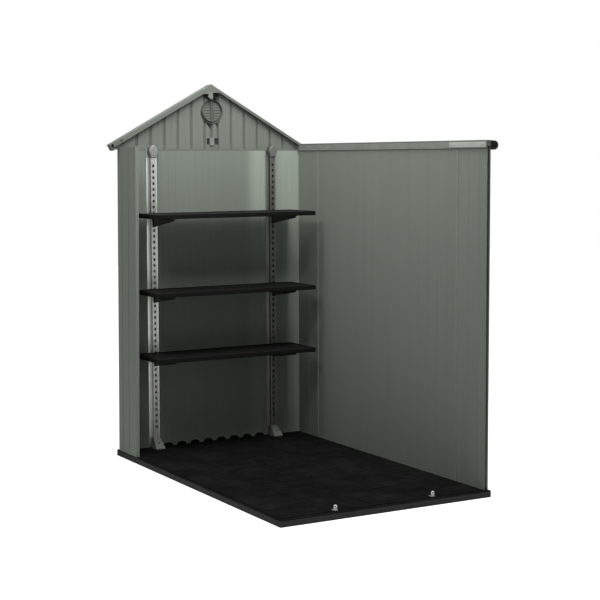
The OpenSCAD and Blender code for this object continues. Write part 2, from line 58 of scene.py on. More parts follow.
# ---------- shader arithmetic ----------
class Sig:
    """One output socket of a node tree that can be used in Python arithmetic."""

    def __init__(self, kit: "Nodes", socket: Optional[bpy.types.NodeSocket]) -> None:
        """Keeps the node maker of the tree, and the output that carries the value."""
        self.kit, self.socket = kit, socket

    def _math(self, operation: str, *values: "float | Sig") -> "Sig":
        """A Math node on these values."""
        return self.kit.node("ShaderNodeMath", {"operation": operation}, dict(enumerate(values)))

    def __add__(self, other: "float | Sig") -> "Sig":
        """Sum."""
        return self._math("ADD", self, other)

    def __sub__(self, other: "float | Sig") -> "Sig":
        """Difference."""
        return self._math("SUBTRACT", self, other)

    def __rsub__(self, other: "float | Sig") -> "Sig":
        """Difference from a value on the left."""
        return self._math("SUBTRACT", other, self)

    def __mul__(self, other: "float | Sig") -> "Sig":
        """Product."""
        return self._math("MULTIPLY", self, other)

    def __truediv__(self, other: "float | Sig") -> "Sig":
        """Quotient."""
        return self._math("DIVIDE", self, other)

    def __rtruediv__(self, other: "float | Sig") -> "Sig":
        """Quotient of a value on the left."""
        return self._math("DIVIDE", other, self)

    def __pow__(self, other: "float | Sig") -> "Sig":
        """Power."""
        return self._math("POWER", self, other)

    def __rpow__(self, other: "float | Sig") -> "Sig":
        """Power of a value on the left."""
        return self._math("POWER", other, self)

    __radd__ = __add__
    __rmul__ = __mul__

    def fract(self) -> "Sig":
        """The part after the decimal point."""
        return self._math("FRACT", self)

    def magnitude(self) -> "Sig":
        """The value without its sign."""
        return self._math("ABSOLUTE", self)

    def larger(self, other: "float | Sig") -> "Sig":
        """The larger of two values."""
        return self._math("MAXIMUM", self, other)

    def ramp(self, low: float, high: float, start: float = 0.0, end: float = 1.0) -> "Sig":
        """A smooth step.

        Args:
            low: the value at which the step starts.
            high: the value at which it ends.
            start: the result below low.
            end: the result above high.

        Returns:
            The stepped value.
        """
        return self.kit.node(
            "ShaderNodeMapRange",
            {"interpolation_type": "SMOOTHSTEP"},
            {"Value": self, "From Min": low, "From Max": high, "To Min": start, "To Max": end},
        )

    def band(self, low: float, full: float, last: float, high: float) -> "Sig":
        """One from full to last, and zero below low and above high."""
        return self.ramp(low, full) * self.ramp(last, high, 1.0, 0.0)


class Nodes:
    """Makes the nodes of one material or world."""

    def __init__(self, tree: bpy.types.NodeTree) -> None:
        """Empties the tree and keeps it."""
        self.tree = tree
        tree.nodes.clear()

    def node(
        self,
        kind: str,
        settings: Optional[dict] = None,
        inputs: Optional[dict] = None,
        out: "int | str" = 0,
    ) -> Sig:
        """Makes one node.

        Args:
            kind: the node's type.
            settings: its settings.
            inputs: value or signal of each input, by name or number.
            out: the output that is returned, by name or by its number among those in use.

        Returns:
            The signal of that output.
        """
        made = self.tree.nodes.new(kind)
        for key, value in (settings or {}).items():
            setattr(made, key, value)
        for key, value in (inputs or {}).items():
            if isinstance(value, Sig):
                self.tree.links.new(value.socket, made.inputs[key])
            else:
                made.inputs[key].default_value = value
        outputs = [s for s in made.outputs if s.enabled] if isinstance(out, int) else made.outputs
        return Sig(self, outputs[out] if len(outputs) else None)

    def place(self, scale: Point) -> Sig:
        """Object coordinates in metres, scaled."""
        raw = self.node("ShaderNodeTexCoord", out="Object")
        return self.node("ShaderNodeMapping", {}, {"Vector": raw, "Scale": scale})

    def axis(self, name: str) -> Sig:
        """One object coordinate in metres, by its letter."""
        raw = self.node("ShaderNodeTexCoord", out="Object")
        return self.node("ShaderNodeSeparateXYZ", {}, {"Vector": raw}, out=name)

    def noise(self, scale: Point, detail: float, rough: float = 0.55, warp: float = 0.0) -> Sig:
        """Noise from 0 to 1.

        Args:
            scale: features a metre along each axis.
            detail: how many finer layers it has.
            rough: how strong the finer layers are.
            warp: how much it is distorted.

        Returns:
            The noise.
        """
        inputs = {"Scale": 1.0, "Detail": detail, "Roughness": rough, "Distortion": warp}
        return self.node("ShaderNodeTexNoise", {}, {"Vector": self.place(scale), **inputs})

    def mix(self, factor: Sig, first: "Sig | Point", second: "Sig | Point") -> Sig:
        """Mixes two colours."""
        inputs = {0: factor, 6: first, 7: second}
        return self.node("ShaderNodeMix", {"data_type": "RGBA"}, inputs)

    def bump(self, height: Sig, depth: float) -> Sig:
        """A bump whose full height is depth metres."""
        return self.node("ShaderNodeBump", {}, {"Height": height, "Distance": depth})


def rgb(red: int, green: int, blue: int) -> tuple:
    """A linear colour with alpha from the values of a colour chart.

    Args:
        red: red value, 0 to 255.
        green: green value, 0 to 255.
        blue: blue value, 0 to 255.

    Returns:
        The colour's four channels.
    """

    def linear(value: float) -> float:
        """One channel made linear."""
        return value / 12.92 if value <= 0.04045 else ((value + 0.055) / 1.055) ** 2.4

    return tuple(linear(v / 255) for v in (red, green, blue)) + (1.0,)


def shade(colour: tuple, by: float) -> tuple:
    """The colour made lighter or darker by a factor."""
    return tuple(min(1.0, c * by) for c in colour[:3]) + (1.0,)


# ---------- finishes ----------
@dataclass(frozen=True)
class Finish:
    """A finish whose colour and roughness vary over the surface."""

    name: str
    colour: tuple
    slot: str
    rough: float
    gloss: float = 0.3
    metal: float = 0.0

    def surface(self, kit: Nodes) -> dict:
        """The varying inputs of the shader.

        Args:
            kit: the node maker of the material.

        Returns:
            Value or signal of each shader input.
        """
        return {"Base Color": self.colour}

    def toned(self, kit: Nodes, level: Sig, dark: float, light: float) -> Sig:
        """The colour between two of its shades, by a level that varies about a half."""
        return kit.mix(level.ramp(0.3, 0.7), shade(self.colour, dark), shade(self.colour, light))

    def paint_light_and_shade(self, kit: Nodes, made: dict, where: Sig, by: float) -> None:
        """Paints light (a factor above one) or shade (a factor below one) into a surface's colour
        in one place.

        Args:
            kit: the node maker of the material.
            made: the surface's inputs.
            where: one where light or shade is painted, zero elsewhere.
            by: factor on the finish's own colour there.
        """
        made["Base Color"] = kit.mix(where, made["Base Color"], shade(self.colour, by))

    def make(self) -> bpy.types.Material:
        """The material, made once."""
        old = bpy.data.materials.get(self.name)
        if old:
            return old
        material = bpy.data.materials.new(self.name)
        material.use_nodes = True
        kit = Nodes(material.node_tree)
        inputs = {
            "Roughness": self.rough, "Metallic": self.metal, "Specular IOR Level": self.gloss,
        }
        inputs.update(self.surface(kit))
        shader = kit.node("ShaderNodeBsdfPrincipled", {}, inputs)
        kit.node("ShaderNodeOutputMaterial", {}, {"Surface": shader})
        material.diffuse_color = self.colour
        return material


@dataclass(frozen=True)
class GrainedPlastic(Finish):
    """Moulded plastic with a fine upright wood grain."""

    grain: float = 0.0004
    streak: float = 0.05

    def surface(self, kit: Nodes) -> dict:
        """Grain, streaks and soft clouding of the moulded wall panels.

        Args:
            kit: the node maker of the material.

        Returns:
            Signal of each varying shader input.
        """
        broad = kit.noise((9, 9, 0.8), 2.0)
        fine = kit.noise((210, 210, 7), 4.0, 0.6, 0.2)
        hair = kit.noise((620, 620, 26), 2.0, 0.5)
        cloud = kit.noise((1.6, 1.6, 1.6), 2.0)
        streaks = (broad - 0.5) * self.streak * 2 + (fine - 0.5) * self.streak * 1.6
        return {
            "Base Color": self.toned(kit, streaks + (cloud - 0.5) * 0.04 + 0.5, 0.86, 1.13),
            "Roughness": (fine - 0.5) * 0.16 + self.rough,
            "Normal": kit.bump(fine * 0.7 + hair * 0.3, self.grain),
        }


@dataclass(frozen=True)
class WallPlastic(GrainedPlastic):
    """Grained wall panels, with a painted pool of light at the rear right and a painted shadow line
    where the gable stands on them.

    Bands are the coordinates at which they start, are full, begin to end, and end.
    """

    rear: tuple = (0.868, 0.872, 0.880, 0.885)
    # painted shadow: a darker line just under the foot of the gable
    seam: tuple = (1.6785, 1.6830, 1.6885, 1.6905)
    seam_shadow_tone: float = 0.80
    # painted light: the rear wall's right part, above the top shelf, is brightened by this gain
    painted_light_x: tuple = (0.200, 0.285)
    painted_light_z: tuple = (1.24, 1.36)
    painted_light_gain: float = 1.60

    def surface(self, kit: Nodes) -> dict:
        """The grain, with painted light at the rear right corner and a painted shadow line under
        the gable.

        Args:
            kit: the node maker of the material.

        Returns:
            Signal of each varying shader input.
        """
        made = super().surface(kit)
        rear, z = kit.axis("Y").band(*self.rear), kit.axis("Z")
        # Painted light at the rear right, then a painted shadow line under the gable.
        painted_light = rear * kit.axis("X").ramp(*self.painted_light_x) * z.ramp(*self.painted_light_z, 0.3, 1.0)
        self.paint_light_and_shade(kit, made, painted_light, self.painted_light_gain)
        self.paint_light_and_shade(kit, made, rear * z.band(*self.seam), self.seam_shadow_tone)
        return made


@dataclass(frozen=True)
class JointedPlastic(GrainedPlastic):
    """Grained boards with painted shade towards the joints between them."""

    pitch: float = 0.0836
    shift: float = 0.003
    reach: tuple = (0.0015, 0.0140)
    middle_reach: float = 0.006
    middle: tuple = (1.748, 1.752, 1.836, 1.840)
    # factor of the painted shade at the joints
    tone: float = 0.72

    def surface(self, kit: Nodes) -> dict:
        """The grain, with painted shade towards each joint and in the short joint below the vent.

        Args:
            kit: the node maker of the material.

        Returns:
            Signal of each varying shader input.
        """
        made = super().surface(kit)
        # Painted shade: darker towards each joint and in the short middle joint below the vent.
        x, (near, far) = kit.axis("X") + self.shift, self.reach
        away = ((x / self.pitch).fract() - 0.5).magnitude() * self.pitch
        middle = x.magnitude().ramp(self.middle_reach, far, 1.0, 0.0)
        shade_below_vent = middle * kit.axis("Z").band(*self.middle) * 1.3
        self.paint_light_and_shade(kit, made, away.ramp(near, far, 1.0, 0.0).larger(shade_below_vent), self.tone)
        return made


@dataclass(frozen=True)
class MouldedPlastic(Finish):
    """Plain moulded plastic with a spark-eroded surface."""

    pebble: float = 0.00012

    def surface(self, kit: Nodes) -> dict:
        """Fine pebbling and soft clouding.

        Args:
            kit: the node maker of the material.

        Returns:
            Signal of each varying shader input.
        """
        stipple = kit.noise((700, 700, 700), 2.0, 0.6)
        cloud = kit.noise((14, 14, 14), 3.0)
        return {
            "Base Color": self.toned(kit, cloud, 0.93, 1.07),
            "Roughness": (cloud - 0.5) * 0.14 + self.rough,
            "Normal": kit.bump(stipple, self.pebble),
        }


@dataclass(frozen=True)
class CapPlastic(MouldedPlastic):
    """Moulded plastic of the caps, with painted shade on the flanks behind their crowned fronts."""

    flank: tuple = (0.8420, 0.8450)
    flank_shade: float = 0.45

    def surface(self, kit: Nodes) -> dict:
        """The pebbling, with painted shade behind the crowned front.

        Args:
            kit: the node maker of the material.

        Returns:
            Signal of each varying shader input.
        """
        made = super().surface(kit)
        # Painted shade on the flanks behind the crowned front.
        self.paint_light_and_shade(kit, made, kit.axis("Y").ramp(*self.flank), self.flank_shade)
        return made


@dataclass(frozen=True)
class VentPlastic(MouldedPlastic):
    """Moulded plastic of the vent, with painted shade in two stretches of its ring."""

    middle: float = 1.8977
    ring: tuple = (0.0540, 0.0560)
    shaded_lobes: tuple = (0.040, 0.078)
    tone: float = 0.30

    def surface(self, kit: Nodes) -> dict:
        """The pebbling, with painted shade low on the left and high on the right of the ring.

        Args:
            kit: the node maker of the material.

        Returns:
            Signal of each varying shader input.
        """
        made = super().surface(kit)
        x, up = kit.axis("X"), kit.axis("Z") - self.middle
        rim = ((x * x + up * up) ** 0.5).ramp(*self.ring)
        # Painted shade in the ring, strongest low on the left and high on the right.
        shaded_lobes = (x + up).magnitude().ramp(*self.shaded_lobes, 0.25, 1.0)
        self.paint_light_and_shade(kit, made, rim * shaded_lobes, self.tone)
        return made


@dataclass(frozen=True)
class DeckPlastic(Finish):
    """Black floor plastic, greyer on its outer edges."""

    side: tuple = (0.066, 0.067, 0.066, 1.0)
    side_top: tuple = (0.0285, 0.0300)

    def surface(self, kit: Nodes) -> dict:
        """Scuffing, grit, and dust that lies in the hollows.

        Args:
            kit: the node maker of the material.

        Returns:
            Signal of each varying shader input.
        """
        scuff = kit.noise((5, 5, 5), 5.0, 0.65)
        dust = kit.noise((38, 38, 38), 4.0, 0.7)
        grit = kit.noise((900, 900, 900), 2.0)
        worn = (scuff * 0.6 + dust * 0.4).ramp(0.42, 0.68)
        deck = kit.mix(worn, shade(self.colour, 0.7), shade(self.colour, 1.5))
        edge = kit.axis("Z").ramp(*self.side_top, 1.0, 0.0) * dust.ramp(0.2, 0.8, 0.75, 1.0)
        return {
            "Base Color": kit.mix(edge, deck, self.side),
            "Roughness": scuff.ramp(0.3, 0.7, self.rough + 0.08, self.rough - 0.06),
            "Normal": kit.bump(grit * 0.5 + dust * 0.5, 0.0003),
        }


@dataclass(frozen=True)
class Galvanised(Finish):
    """Zinc-coated sheet steel with a faint spangle, painted shade on its flanks and a painted
    highlight on its flanges.
    """

    flank: tuple = (0.8492, 0.8510, 0.8685, 0.8705)
    flank_shade: float = 0.34
    flange_highlight: float = 1.5

    def surface(self, kit: Nodes) -> dict:
        """Spangle, rolling streaks and a dull patina, with painted shade on the flanks and a
        painted highlight on the flanges.

        Args:
            kit: the node maker of the material.

        Returns:
            Signal of each varying shader input.
        """
        cells = {"Vector": kit.place((140, 140, 90)), "Scale": 1.0}
        spangle = kit.node("ShaderNodeTexVoronoi", {}, cells, out=1)
        grey = kit.node("ShaderNodeRGBToBW", {}, {"Color": spangle})
        streak = kit.noise((160, 160, 5), 3.0)
        tone = grey * 0.35 + streak * 0.65
        made = {
            "Base Color": self.toned(kit, tone, 0.84, 1.1),
            "Roughness": (tone - 0.5) * 0.25 + self.rough,
            "Normal": kit.bump(streak, 0.00008),
        }
        y, behind = kit.axis("Y"), self.flank[-1]
        # Painted shade on the upright's flanks, then a painted highlight on the flanges behind.
        self.paint_light_and_shade(kit, made, y.band(*self.flank), self.flank_shade)
        self.paint_light_and_shade(kit, made, y.ramp(behind, behind + 0.001), self.flange_highlight)
        return made


SAGE, SAGE_TRIM, LIGHT = "sage_panel", "sage_trim", "pale_plastic"
DARK, STEEL, DARK_STEEL = "black_plastic", "galvanised", "black_steel"

WALL = WallPlastic("sage wall plastic", rgb(128, 135, 126), SAGE, 0.6, 0.12)
GABLE = JointedPlastic("sage gable plastic", rgb(121, 127, 119), SAGE, 0.6, 0.12)
TRIM = MouldedPlastic("sage trim plastic", rgb(130, 136, 128), SAGE_TRIM, 0.55, 0.15)
ROOF = GrainedPlastic("sage roof plastic", rgb(104, 109, 102), SAGE_TRIM, 0.6, 0.12)
EDGE = GrainedPlastic("sage roof edge plastic", rgb(114, 119, 112), SAGE_TRIM, 0.6, 0.12)
VENT = VentPlastic("sage vent plastic", rgb(100, 105, 98), SAGE_TRIM, 0.6, 0.1)
# Dark fill that paints the shade inside hollows, pockets and gaps.
SHADOW_FILL = MouldedPlastic("dark sage shadow-fill plastic", rgb(66, 69, 65), SAGE_TRIM, 0.7, 0.05)
PALE = MouldedPlastic("pale cover plastic", rgb(176, 180, 172), LIGHT, 0.45, 0.35)
CAP = CapPlastic("grey cap plastic", rgb(140, 141, 137), LIGHT, 0.5, 0.25)
# A darker copy of the cap plastic: painted shade on the right cap.
SHADED_CAP = CapPlastic("shaded grey cap plastic", rgb(112, 113, 110), LIGHT, 0.55, 0.2)
BLACK = MouldedPlastic("black plastic", rgb(22, 22, 21), DARK, 0.6, 0.1)
DECK = DeckPlastic("black deck plastic", rgb(22, 22, 22), DARK, 0.75, 0.02)
SHELF = MouldedPlastic("black shelf plastic", rgb(26, 25, 25), DARK, 0.65, 0.05)
ZINC = Galvanised("galvanised steel", rgb(188, 190, 186), STEEL, 0.4, metal=1.0)
# A darker copy of the zinc: painted shade and dark reflection on the right upright.
SHADED_ZINC = Galvanised("shaded galvanised steel", rgb(126, 127, 123), STEEL, 0.5, metal=1.0)
PAINTED = MouldedPlastic("black painted steel", rgb(30, 29, 29), DARK_STEEL, 0.45, 0.4)


# ---------- mesh making ----------
class Side(Enum):
    """The two sides of the shed, whose values are the signs of X."""

    LEFT = -1
    RIGHT = 1

    @property
    def label(self) -> str:
        """The side's word in names."""
        return self.name.lower()


class Axis(Enum):
    """Directions along which outlines are drawn out."""

    X = 0
    Y = 1
    Z = 2

    def point(self, across: float, up: float, along: float) -> tuple:
        """A 3-D point from the two numbers of an outline and the place along the axis."""
        return ((along, across, up), (across, along, up), (across, up, along))[self.value]


def arc(centre: Point, radius: float, start: float, turn: float, steps: int) -> list:
    """Points along an arc.

    Args:
        centre: its centre.
        radius: its radius.
        start: the direction of its first point, in degrees.
        turn: how far it turns, in degrees.
        steps: its segments.

    Returns:
        Its points, one more than the segments.
    """
    turns = [math.radians(start + turn * i / steps) for i in range(steps + 1)]
    return [(centre[0] + radius * math.cos(a), centre[1] + radius * math.sin(a)) for a in turns]


def ribbon(path: Sequence[Point], half: float) -> list:
    """The outline of a band along a path.

    Args:
        path: points of its middle line.
        half: half of its width.

    Returns:
        Its corners, in order.
    """
    points = [Vector(p) for p in path]
    left, right = [], []
    for i, point in enumerate(points):
        along = (points[min(i + 1, len(points) - 1)] - points[max(i - 1, 0)]).normalized()
        aside = Vector((-along.y, along.x)) * half
        left.append(tuple(point + aside))
        right.append(tuple(point - aside))
    return left + right[::-1]


def notched(start: Point, end: Point, places: Iterable[float], width: float, depth: float) -> list:
    """The corners of one side of an outline with grooves cut into it.

    Args:
        start: first corner; the solid lies to the right of the way to the end.
        end: last corner, left out.
        places: where the grooves' centres lie along the side, from its start.
        width: of a groove at the face.
        depth: of a groove.

    Returns:
        The side's corners.
    """
    start, end = Vector(start), Vector(end)
    along = (end - start).normalized()
    inward = Vector((along.y, -along.x))
    section = ((-width / 2, 0), (-width / 3, depth), (width / 3, depth), (width / 2, 0))
    corners = [tuple(start)]
    for place in sorted(places):
        middle = start + along * place
        corners += [tuple(middle + along * step + inward * sink) for step, sink in section]
    return corners


class Shape:
    """A piece under construction, shaped by mesh operators."""

    def __init__(self) -> None:
        """Starts empty."""
        self.bm = bmesh.new()

    def block(self, low: Point, high: Point) -> None:
        """Adds a box.

        Args:
            low: its lowest corner.
            high: its highest corner.
        """
        made = bmesh.ops.create_cube(self.bm, size=1.0)["verts"]
        low, high = Vector(low), Vector(high)
        bmesh.ops.scale(self.bm, vec=high - low, verts=made)
        bmesh.ops.translate(self.bm, vec=(low + high) / 2, verts=made)

    def loop(self, points: Iterable[Point]) -> tuple:
        """Adds a closed line through points, and gives its vertices and edges."""
        ring = [self.bm.verts.new(p) for p in points]
        return ring, [self.bm.edges.new(pair) for pair in zip(ring, ring[1:] + ring[:1])]

    def grow(self, faces: list, by: Point) -> list:
        """Extrudes faces.

        Args:
            faces: the region.
            by: how far and which way.

        Returns:
            The new vertices, edges and faces at the far end.
        """
        grown = bmesh.ops.extrude_face_region(self.bm, geom=faces)["geom"]
        far = [v for v in grown if isinstance(v, bmesh.types.BMVert)]
        bmesh.ops.translate(self.bm, vec=Vector(by), verts=far)
        return grown

    def prism(self, outline: Iterable[Point], axis: Axis, start: float, end: float) -> list:
        """Draws a flat outline out along an axis.

        Args:
            outline: its corners, in order.
            axis: the direction.
            start: where it starts on that axis.
            end: where it ends.

        Returns:
            Its vertices.
        """
        base = [self.bm.verts.new(axis.point(u, v, start)) for u, v in outline]
        grown = self.grow([self.bm.faces.new(base)], axis.point(0, 0, end - start))
        return base + [v for v in grown if isinstance(v, bmesh.types.BMVert)]

    def turned(self, profile: Iterable[Point], centre: Point, axis: Axis, steps: int) -> None:
        """Spins a closed profile about an axis.

        Args:
            profile: (radius, place along the axis) corners, in order.
            centre: a point on the axis; places along the axis start there.
            axis: the direction of the axis.
            steps: segments of the full turn.
        """
        centre = Vector(centre)
        before = set(self.bm.verts)
        ring, edges = self.loop(centre + Vector(axis.point(r, 0, along)) for r, along in profile)
        bmesh.ops.spin(
            self.bm, geom=ring + edges, cent=centre, axis=axis.point(0, 0, 1),
            angle=math.tau, steps=steps, use_merge=True,
        )
        made = [v for v in self.bm.verts if v not in before]
        bmesh.ops.remove_doubles(self.bm, verts=made, dist=WELD)

    def disc(self, radius: float, low: float, high: float, centre: Point, axis: Axis,
             steps: int) -> None:
        """Adds a round disc.

        Args:
            radius: its radius.
            low: where it starts along the axis, from its centre.
            high: where it ends.
            centre: a point on its axis.
            axis: the direction of its thickness.
            steps: segments of its rim.
        """
        self.turned([(0, low), (radius, low), (radius, high), (0, high)], centre, axis, steps)

    def plate(self, outline: Iterable[Point], hole: Iterable[Point], axis: Axis, start: float,
              end: float) -> None:
        """A flat plate with a hole.

        Args:
            outline: corners of the plate, in order.
            hole: corners of the hole, in order.
            axis: the direction of its thickness.
            start: where its first face lies on that axis.
            end: where its other face lies.
        """
        edges = []
        for corners in (outline, hole):
            edges += self.loop(axis.point(u, v, start) for u, v in corners)[1]
        filled = bmesh.ops.triangle_fill(self.bm, use_beauty=True, edges=edges)["geom"]
        faces = [f for f in filled if isinstance(f, bmesh.types.BMFace)]
        self.grow(faces, axis.point(0, 0, end - start))

    def cut(self, axis: Axis, places: Iterable[float]) -> None:
        """Cuts every face through along planes.

        Args:
            axis: the axis that the planes lie across.
            places: where the planes lie on it.
        """
        normal = Vector(axis.point(0, 0, 1))
        for place in sorted(set(places)):
            geom = self.bm.verts[:] + self.bm.edges[:] + self.bm.faces[:]
            bmesh.ops.bisect_plane(self.bm, geom=geom, plane_co=normal * place, plane_no=normal)

    def pick(self, test: Callable[[Vector, Vector], bool]) -> list:
        """Faces whose centre and normal pass a test."""
        self.bm.normal_update()
        return [f for f in self.bm.faces if test(f.calc_center_median(), f.normal)]

    def push(self, faces: list, by: Point, taper: float = 0.0) -> None:
        """Raises or sinks a region of faces between new walls.

        Args:
            faces: the region.
            by: how far and which way.
            taper: how much the moved region draws in from its edge.
        """
        if not faces:
            return
        grown = self.grow(faces, by)
        old = [f for f in faces if f.is_valid]
        bmesh.ops.delete(self.bm, geom=old, context="FACES_KEEP_BOUNDARY")
        if taper:
            self.inset([f for f in grown if isinstance(f, bmesh.types.BMFace)], taper, 0.0)

    def inset(self, faces: list, rim: float, depth: float) -> None:
        """Insets a region of faces and raises or sinks its middle.

        Args:
            faces: the region, whose faces become the middle.
            rim: width of the rim that is left.
            depth: how far the middle rises along its normal.
        """
        bmesh.ops.inset_region(
            self.bm, faces=faces, thickness=rim, depth=depth, use_even_offset=True
        )

    def screw(self, place: Point, axis: Axis, sign: int, radius: float) -> None:
        """Adds a pan-head screw with a recess in its head.

        Args:
            place: where its axis meets the surface.
            axis: the direction that it points in.
            sign: the side of the surface on which it stands.
            radius: of its head.
        """
        high, sunk = radius * 0.55, 0.0005
        profile = [
            (0, -sunk), (radius, -sunk), (radius, high * 0.3), (radius * 0.75, high * 0.85),
            (radius * 0.45, high), (radius * 0.35, high * 0.2), (0, high * 0.2),
        ]
        self.turned([(r, sign * h) for r, h in profile], place, axis, 14)

    def round_edges(
        self, width: float, segments: int, only: Optional[Callable[[Vector], bool]] = None
    ) -> None:
        """Rounds sharp edges.

        Args:
            width: how far the round reaches from the edge.
            segments: its steps.
            only: a test of the edge's middle.
        """
        edges = []
        for e in self.bm.edges:
            middle = (e.verts[0].co + e.verts[1].co) / 2
            if e.is_manifold and e.calc_face_angle(0) > SHARP and (not only or only(middle)):
                edges.append(e)
        bmesh.ops.bevel(
            self.bm, geom=edges, offset=width, offset_type="OFFSET", segments=segments,
            profile=0.5, affect="EDGES", clamp_overlap=True, material=-1,
        )

    def mesh(self, name: str) -> bpy.types.Mesh:
        """Closes the mesh, turns its faces outwards and writes it.

        Args:
            name: the mesh's name.

        Returns:
            The mesh.
        """
        bmesh.ops.remove_doubles(self.bm, verts=self.bm.verts, dist=WELD)
        bmesh.ops.recalc_face_normals(self.bm, faces=self.bm.faces)
        mesh = bpy.data.meshes.new(name)
        self.bm.to_mesh(mesh)
        self.bm.free()
        mesh.shade_smooth()
        mesh.set_sharp_from_angle(angle=SMOOTH)
        return mesh

    def piece(self, name: str, finish: Finish, node: str) -> bpy.types.Object:
        """Makes the piece.

        Args:
            name: its name.
            finish: its finish.
            node: the CAD node that it stands for.

        Returns:
            The object, riding on the body.
        """
        piece = bpy.data.objects.new(name, self.mesh(name))
        bpy.context.scene.collection.objects.link(piece)
        piece.data.materials.append(finish.make())
        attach(piece, BODY)
        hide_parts(node)
        LOG.info("%s: %d faces", name, len(piece.data.polygons))
        PIECES.append(piece)
        return piece


def carve(piece: bpy.types.Object, cutter: Shape) -> None:
    """Takes a shape away from a piece's mesh.

    Args:
        piece: what is cut.
        cutter: the shape that is taken away.
    """
    tool = bpy.data.objects.new("cutter", cutter.mesh("cutter"))
    bpy.context.scene.collection.objects.link(tool)
    step = piece.modifiers.new("carve", "BOOLEAN")
    step.operation, step.solver, step.object = "DIFFERENCE", "EXACT", tool
    graph = bpy.context.evaluated_depsgraph_get()
    cut = bpy.data.meshes.new_from_object(piece.evaluated_get(graph))
    piece.modifiers.clear()
    cut.set_sharp_from_angle(angle=SMOOTH)
    piece.data = cut
    bpy.data.objects.remove(tool)


def keep_flat(pieces: list) -> None:
    """Keeps large faces flat beside their rounded edges, by weighing normals by face area.

    Args:
        pieces: the finished pieces.
    """
    for piece in pieces:
        piece.modifiers.new("keep_flat", "WEIGHTED_NORMAL").keep_sharp = True
    graph = bpy.context.evaluated_depsgraph_get()
    made = [bpy.data.meshes.new_from_object(p.evaluated_get(graph)) for p in pieces]
    for piece, mesh in zip(pieces, made):
        piece.modifiers.clear()
        piece.data = mesh


# ---------- the shed ----------
@dataclass
class Floor:
    """Two black floor panels with rounded edges, wall channels, deck ribs and lugs."""

    half_x: float = 0.588
    half_y: float = 0.918
    thick: float = 0.032
    corner: float = 0.009
    rounding: float = 0.0022
    channel_x: float = 0.573
    channel_y: float = 0.884
    channel: float = 0.009
    deep: float = 0.008
    room_x: float = 0.561
    room_y: float = 0.870
    rib_x: float = 0.129
    rib_y: float = 0.120
    rib: tuple = (0.005, 0.0012, 0.0009)
    wall_y: float = 0.874
    lug: tuple = (0.054, 0.018, 0.008)
    lug_pitch: float = 0.0836
    post_x: float = 0.3755
    post_room: float = 0.057

    def panel(self, side: int) -> Shape:
        """One panel, from the joint across the middle out to one end.

        Args:
            side: 1 for the rear end, -1 for the front end.

        Returns:
            The panel.
        """
        wide, tall, taper = self.rib
        width, edge = wide / 2, self.channel / 2
        across = [s.value * (k + 0.5) * self.rib_x for k in range(4) for s in Side]
        along = [k * self.rib_y for k in range(1, 8)]
        shape = Shape()
        low, high = sorted((side * GAP, side * self.half_y))
        shape.block((-self.half_x, low, 0), (self.half_x, high, self.thick))

        def upright(p: Vector) -> bool:
            """Whether an edge's middle is that of an upright edge at the outer corners."""
            return abs(p.z - self.thick / 2) < TINY and abs(p.y) > self.channel_y

        shape.round_edges(self.corner, 5, upright)
        shape.round_edges(self.rounding, 2, lambda p: abs(p.y) > 0.01)
        shape.cut(Axis.X, [s.value * self.channel_x + d for s in Side for d in (-edge, edge)])
        shape.cut(Axis.X, [x + d for x in across for d in (-width, width)])
        shape.cut(Axis.X, [-self.room_x, self.room_x])
        shape.cut(Axis.Y, [side * self.channel_y + d for d in (-edge, edge)])
        shape.cut(Axis.Y, [side * y + d for y in along for d in (-width, width)])
        shape.cut(Axis.Y, [side * self.room_y])

        def on_top(p: Vector, n: Vector) -> bool:
            """Whether a face lies on the deck."""
            return n.z > FACING and p.z > self.thick - 0.0005

        def in_channel(p: Vector, n: Vector) -> bool:
            """Whether a top face lies in the wall channel.

            Args:
                p: the face's middle.
                n: its normal.

            Returns:
                Whether it is chosen.
            """
            ax, ay = abs(p.x), abs(p.y)
            beside = abs(ax - self.channel_x) < edge and ay < self.channel_y + edge
            behind = abs(ay - self.channel_y) < edge and ax < self.channel_x
            return on_top(p, n) and (beside or behind)

        def on_rib(p: Vector, n: Vector) -> bool:
            """Whether a top face lies on a deck rib.

            Args:
                p: the face's middle.
                n: its normal.

            Returns:
                Whether it is chosen.
            """
            if not on_top(p, n) or abs(p.x) > self.room_x or abs(p.y) > self.room_y:
                return False
            lengthwise = any(abs(p.x - x) < width for x in across)
            return lengthwise or any(abs(p.y - side * y) < width for y in along)

        shape.push(shape.pick(in_channel), (0, 0, -self.deep))
        shape.push(shape.pick(on_rib), (0, 0, tall), taper)
        return shape

    def lugs(self, shape: Shape) -> None:
        """Adds the rounded lugs at the foot of the rear wall, clear of the uprights.

        Args:
            shape: the rear panel.
        """
        wide, tall, deep = self.lug
        foot, back = self.thick - 0.001, self.wall_y - GAP
        turns = [math.pi * i / 10 for i in range(11)]
        for x in [s.value * (k + 0.5) * self.lug_pitch for k in range(5) for s in Side]:
            if abs(abs(x) - self.post_x) < self.post_room:
                continue
            arch = [(x - wide / 2 * math.cos(a), self.thick + tall * math.sin(a) ** 0.7)
                    for a in turns]
            outline = [(x - wide / 2, foot)] + arch + [(x + wide / 2, foot)]
            shape.prism(outline, Axis.Y, back - deep, back)

    def build(self) -> None:
        """Makes both panels."""
        rear = self.panel(1)
        self.lugs(rear)
        rear.piece("floor_rear_deck", DECK, "floor_rear_panel")
        self.panel(-1).piece("floor_front_deck", DECK, "floor_front_panel")


